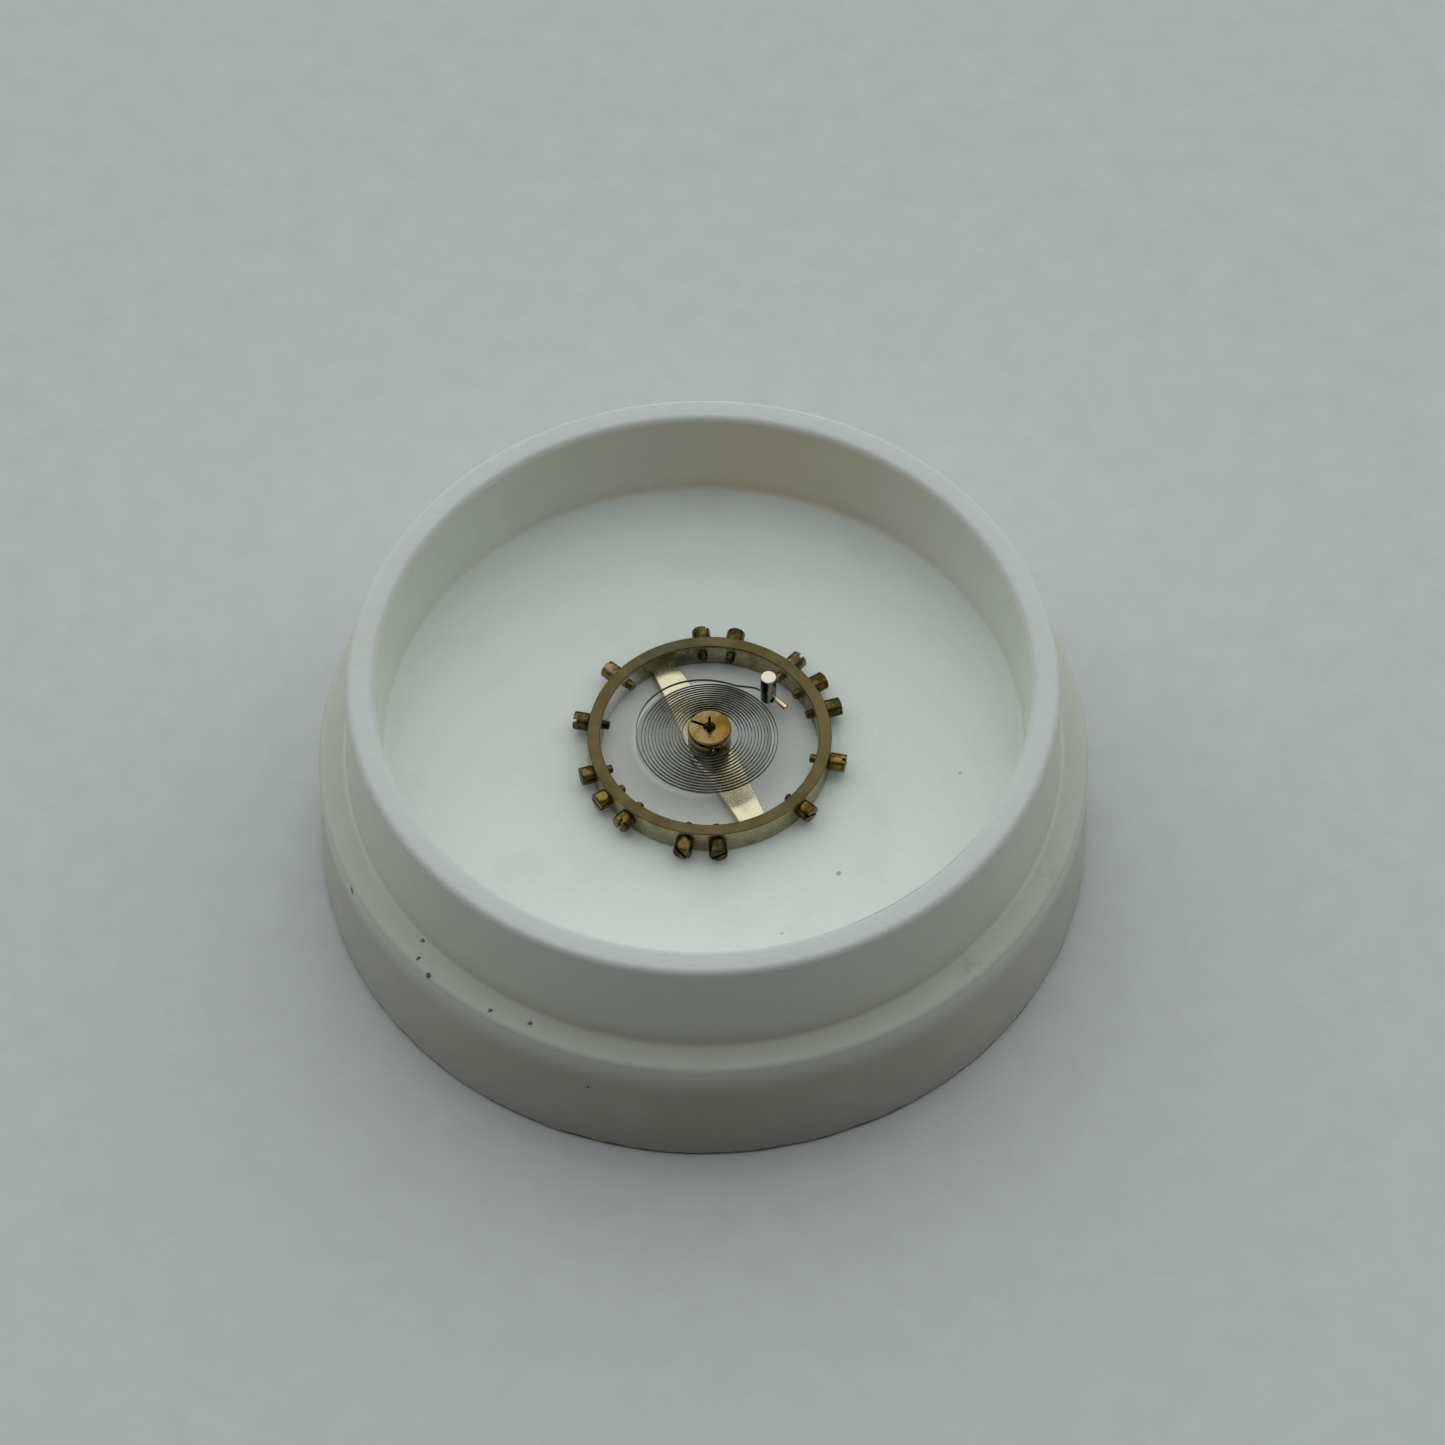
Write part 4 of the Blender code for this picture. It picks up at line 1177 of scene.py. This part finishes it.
def make_jewel(ruby):
    """A ruby pin standing in the table, with a flat on its outer side."""
    to_arm = TO_BALANCE @ turn(ARM_AZIMUTH)
    jewel = upright_rod(JEWEL_RADIUS, JEWEL_DISTANCE, 0.0, JEWEL_FOOT, JEWEL_TOP, 32, rounding=0.01)
    jewel = raw_object("ruby_pin", jewel, ruby, to_arm)
    flat = block(
        (JEWEL_DISTANCE + JEWEL_RADIUS / 2, -0.5, -1.5),
        (JEWEL_DISTANCE + 0.5, 0.5, 0.5),
    )
    cut(jewel, "flat", flat, to_arm)
    settle(jewel, "balance", "impulse_jewel")


# ---------------------------- hairspring


def bend(start, start_direction, end, end_direction, steps):
    """Points on a smooth bend from start up to end, left and met in the given directions."""
    span = (end - start).length
    points = []
    for i in range(steps):
        t = i / steps
        points.append(
            (2 * t**3 - 3 * t**2 + 1) * start
            + (t**3 - 2 * t**2 + t) * span * start_direction
            + (3 * t**2 - 2 * t**3) * end
            + (t**3 - t**2) * span * end_direction
        )
    return points


def spiral_point(share):
    """A point on the spiral, at a share of its turns from the inner end.

    The stud hangs free, so the coils sag below the collet's hole and lean down towards the stud,
    and the last one bulges out, clear of the rest.
    """
    turns_left = (1.0 - share) * SPRING_TURNS
    azimuth = SPRING_OUTER_AZIMUTH + turns_left * 2 * math.pi
    radius = SPRING_INNER_RADIUS + (SPRING_OUTER_RADIUS - SPRING_INNER_RADIUS) * share
    if turns_left < BULGE_START:
        radius += BULGE_REACH * math.sin(math.pi * (BULGE_START - turns_left) / BULGE_SPAN) ** 2
    point = polar(radius, azimuth, SPRING_HEIGHT + SPRING_CROWN * (1.0 - share))
    point.x += SPRING_SHIFT * share**2
    point.z -= SPRING_LEAN * point.y * share
    return point


def hairspring_path():
    """The middle of the strip, from inside the collet's hole to inside the stud's."""
    steps = round(SPRING_TURNS * SPRING_STEPS_PER_TURN)
    spiral = [spiral_point(i / steps) for i in range(steps + 1)]
    collet_offset = COLLET_HOLE_OFFSET + 2 * RUNNING_GAP
    collet_hole = tangent_frame(COLLET_HOLE_AZIMUTH, collet_offset, COLLET_HOLE_HEIGHT)
    stud_hole = tangent_frame(STUD_AZIMUTH, STUD_DISTANCE + STUD_STRIP_OFFSET, STUD_HOLE_HEIGHT)
    inner_end = collet_hole @ Vector((COLLET_STRIP_END, 0.0, 0.0))
    inner_exit = collet_hole @ Vector((COLLET_STRIP_EXIT, 0.0, 0.0))
    outer_entry = stud_hole @ Vector((STUD_STRIP_ENTRY, 0.0, 0.0))
    outer_end = stud_hole @ Vector((STUD_STRIP_END, 0.0, 0.0))
    leaving = collet_hole.to_3x3() @ Vector((1.0, 0.0, 0.0))
    entering = stud_hole.to_3x3() @ Vector((1.0, 0.0, 0.0))
    first = (spiral[1] - spiral[0]).normalized()
    last = (spiral[-1] - spiral[-2]).normalized()
    inner_bend = bend(inner_exit, leaving, spiral[0], first, SPRING_BEND_STEPS)
    outer_bend = bend(spiral[-1], last, outer_entry, entering, SPRING_BEND_STEPS)
    return [inner_end] + inner_bend + spiral[:-1] + outer_bend + [outer_entry, outer_end]


def strip_bmesh(path):
    """A strip standing on edge along a path."""
    bm = bmesh.new()
    rings = []
    for i, point in enumerate(path):
        ahead = path[min(i + 1, len(path) - 1)] - path[max(i - 1, 0)]
        side = Vector((-ahead.y, ahead.x, 0.0)).normalized() * STRIP_THICKNESS / 2
        up = Vector((0.0, 0.0, STRIP_WIDTH / 2))
        corners = (point + side - up, point - side - up, point - side + up, point + side + up)
        rings.append([bm.verts.new(corner) for corner in corners])
    for ring, following in zip(rings, rings[1:]):
        for i in range(4):
            j = (i + 1) % 4
            bm.faces.new((ring[i], ring[j], following[j], following[i]))
    bm.faces.new(rings[0])
    bm.faces.new(reversed(rings[-1]))
    return bm


def make_hairspring(steel):
    """The spring winds between its ends."""
    path = hairspring_path()
    spring = raw_object("spiral_hairspring", strip_bmesh(path), steel, TO_BALANCE)
    smooth(spring)
    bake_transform(spring)
    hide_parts("hairspring")


# ---------------------------- stud


def make_stud(steel):
    """The post that holds the spring's outer end in its cross hole."""
    corners = [
        (0.0, STUD_FOOT, 0.0),
        (STUD_RADIUS, STUD_FOOT, STUD_ROUNDING),
        (STUD_RADIUS, STUD_TOP, STUD_ROUNDING),
        (0.0, STUD_TOP, 0.0),
    ]
    body = turned(rounded(corners, steps=6), STUD_STEPS, closed=False)
    place(body, Matrix.Translation(polar(STUD_DISTANCE, STUD_AZIMUTH)))
    stud = raw_object("stud_post", body, steel, TO_BALANCE)
    hole = rod(STUD_HOLE_RADIUS, -1.0, 1.0, STUD_STEPS // 2)
    place(hole, tangent_frame(STUD_AZIMUTH, STUD_DISTANCE, STUD_HOLE_HEIGHT))
    cut(stud, "stud_hole", hole)
    settle(stud, "stud", "hairspring_stud")


def make_stud_pin(brass):
    """The taper pin that wedges the spring in the stud, thicker at its outer end."""
    pin = rod(
        STUD_PIN_THIN_RADIUS,
        STUD_PIN_START,
        STUD_PIN_END,
        28,
        end_radius=STUD_PIN_THICK_RADIUS,
        rounding=EDGE_ROUNDING,
    )
    place(pin, tangent_frame(STUD_AZIMUTH, STUD_DISTANCE + STUD_PIN_OFFSET, STUD_HOLE_HEIGHT))
    pin = raw_object("stud_taper_pin", pin, brass, TO_BALANCE)
    settle(pin, "stud", "stud_pin")


# ---------------------------- light, floor and camera

FLOOR_SIZE = 0.6
PAPER = (0.55, 0.58, 0.59)
PAPER_FIBRE = (0.57, 0.602, 0.612)
SKY_FACING = Vector((0.0, 0.66, 0.75))
SKY_DARK = (0.05, 0.049, 0.044)
SKY_BRIGHT = (1.05, 1.085, 1.05)
CAMERA_PLACE = Vector((0.00081, -0.12179, 0.17609))
CAMERA_DIRECTION = Vector((0.0, 0.5864, -0.8100))
CAMERA_LENS = 121.6


def make_floor():
    """A plain pale sheet of paper."""
    mat, tree, shader, where = new_material("pale_paper")
    fibres = grain(tree, where, 0.6, detail=6.0, roughness=0.6)
    colour = mixed(tree, remap(tree, fibres, 0.35, 0.65), PAPER, PAPER_FIBRE)
    tree.links.new(colour, shader.inputs["Base Color"])
    shader.inputs["Roughness"].default_value = 0.9
    bump(tree, shader, grain(tree, where, 3.0), 0.01)
    bm = bmesh.new()
    bmesh.ops.create_grid(bm, x_segments=1, y_segments=1, size=FLOOR_SIZE)
    mesh = bpy.data.meshes.new("floor")
    bm.to_mesh(mesh)
    bm.free()
    mesh.materials.append(mat)
    floor = bpy.data.objects.new("floor", mesh)
    bpy.context.scene.collection.objects.link(floor)


def make_sky():
    """Soft light from a broad bright area high behind the object, with a dark room in front."""
    world = bpy.data.worlds.new("studio")
    bpy.context.scene.world = world
    world.use_nodes = True
    tree = world.node_tree
    direction = add(tree, "ShaderNodeTexCoord").outputs["Generated"]
    facing = vector_maths(tree, "DOT_PRODUCT", direction, SKY_FACING.normalized())["Value"]
    colour = mixed(tree, remap(tree, facing, 0.0, 0.8), SKY_DARK, SKY_BRIGHT)
    tree.links.new(colour, tree.nodes["Background"].inputs["Color"])


def make_camera():
    camera = bpy.data.objects.new("camera", bpy.data.cameras.new("camera"))
    camera.data.sensor_width = 36.0
    camera.data.lens = CAMERA_LENS
    camera.data.clip_start = 0.01
    camera.data.clip_end = 10.0
    camera.location = CAMERA_PLACE
    camera.rotation_mode = "QUATERNION"
    camera.rotation_quaternion = CAMERA_DIRECTION.to_track_quat("-Z", "Y")
    bpy.context.scene.collection.objects.link(camera)
    bpy.context.scene.camera = camera


# ---------------------------- assembly


def steel_finish():
    """Darkened polished steel, for the staff and the rollers."""
    return metal_finish(
        "polished_steel",
        clean=(0.17, 0.165, 0.15),
        stained=(0.07, 0.065, 0.055),
        stain_range=(0.40, 0.65),
        roughness=(0.12, 0.22),
    )


def pin_finish():
    """Pale brass, for the taper pins."""
    return metal_finish(
        "pin_brass",
        clean=(0.80, 0.66, 0.46),
        stained=(0.50, 0.38, 0.24),
        stain_range=(0.42, 0.66),
        roughness=(0.16, 0.28),
    )


def ruby_finish():
    mat = metal_finish(
        "ruby",
        clean=(0.55, 0.02, 0.06),
        stained=(0.40, 0.01, 0.04),
        stain_range=(0.4, 0.7),
        roughness=(0.04, 0.08),
    )
    mat.node_tree.nodes["Principled BSDF"].inputs["Metallic"].default_value = 0.0
    return mat


def main():
    bpy.context.scene.view_settings.view_transform = "Standard"
    steel = steel_finish()
    pin_brass = pin_finish()
    ruby = ruby_finish()

    make_pot()
    make_wheel()
    make_screws()
    make_staff(steel)
    make_collet(collet_finish())
    make_collet_pin(pin_brass)
    make_roller_table(steel)
    make_safety_roller(steel)
    make_jewel(ruby)
    make_hairspring(spring_finish())
    make_stud(stud_finish())
    make_stud_pin(pin_brass)
    make_floor()
    make_sky()
    make_camera()


main()
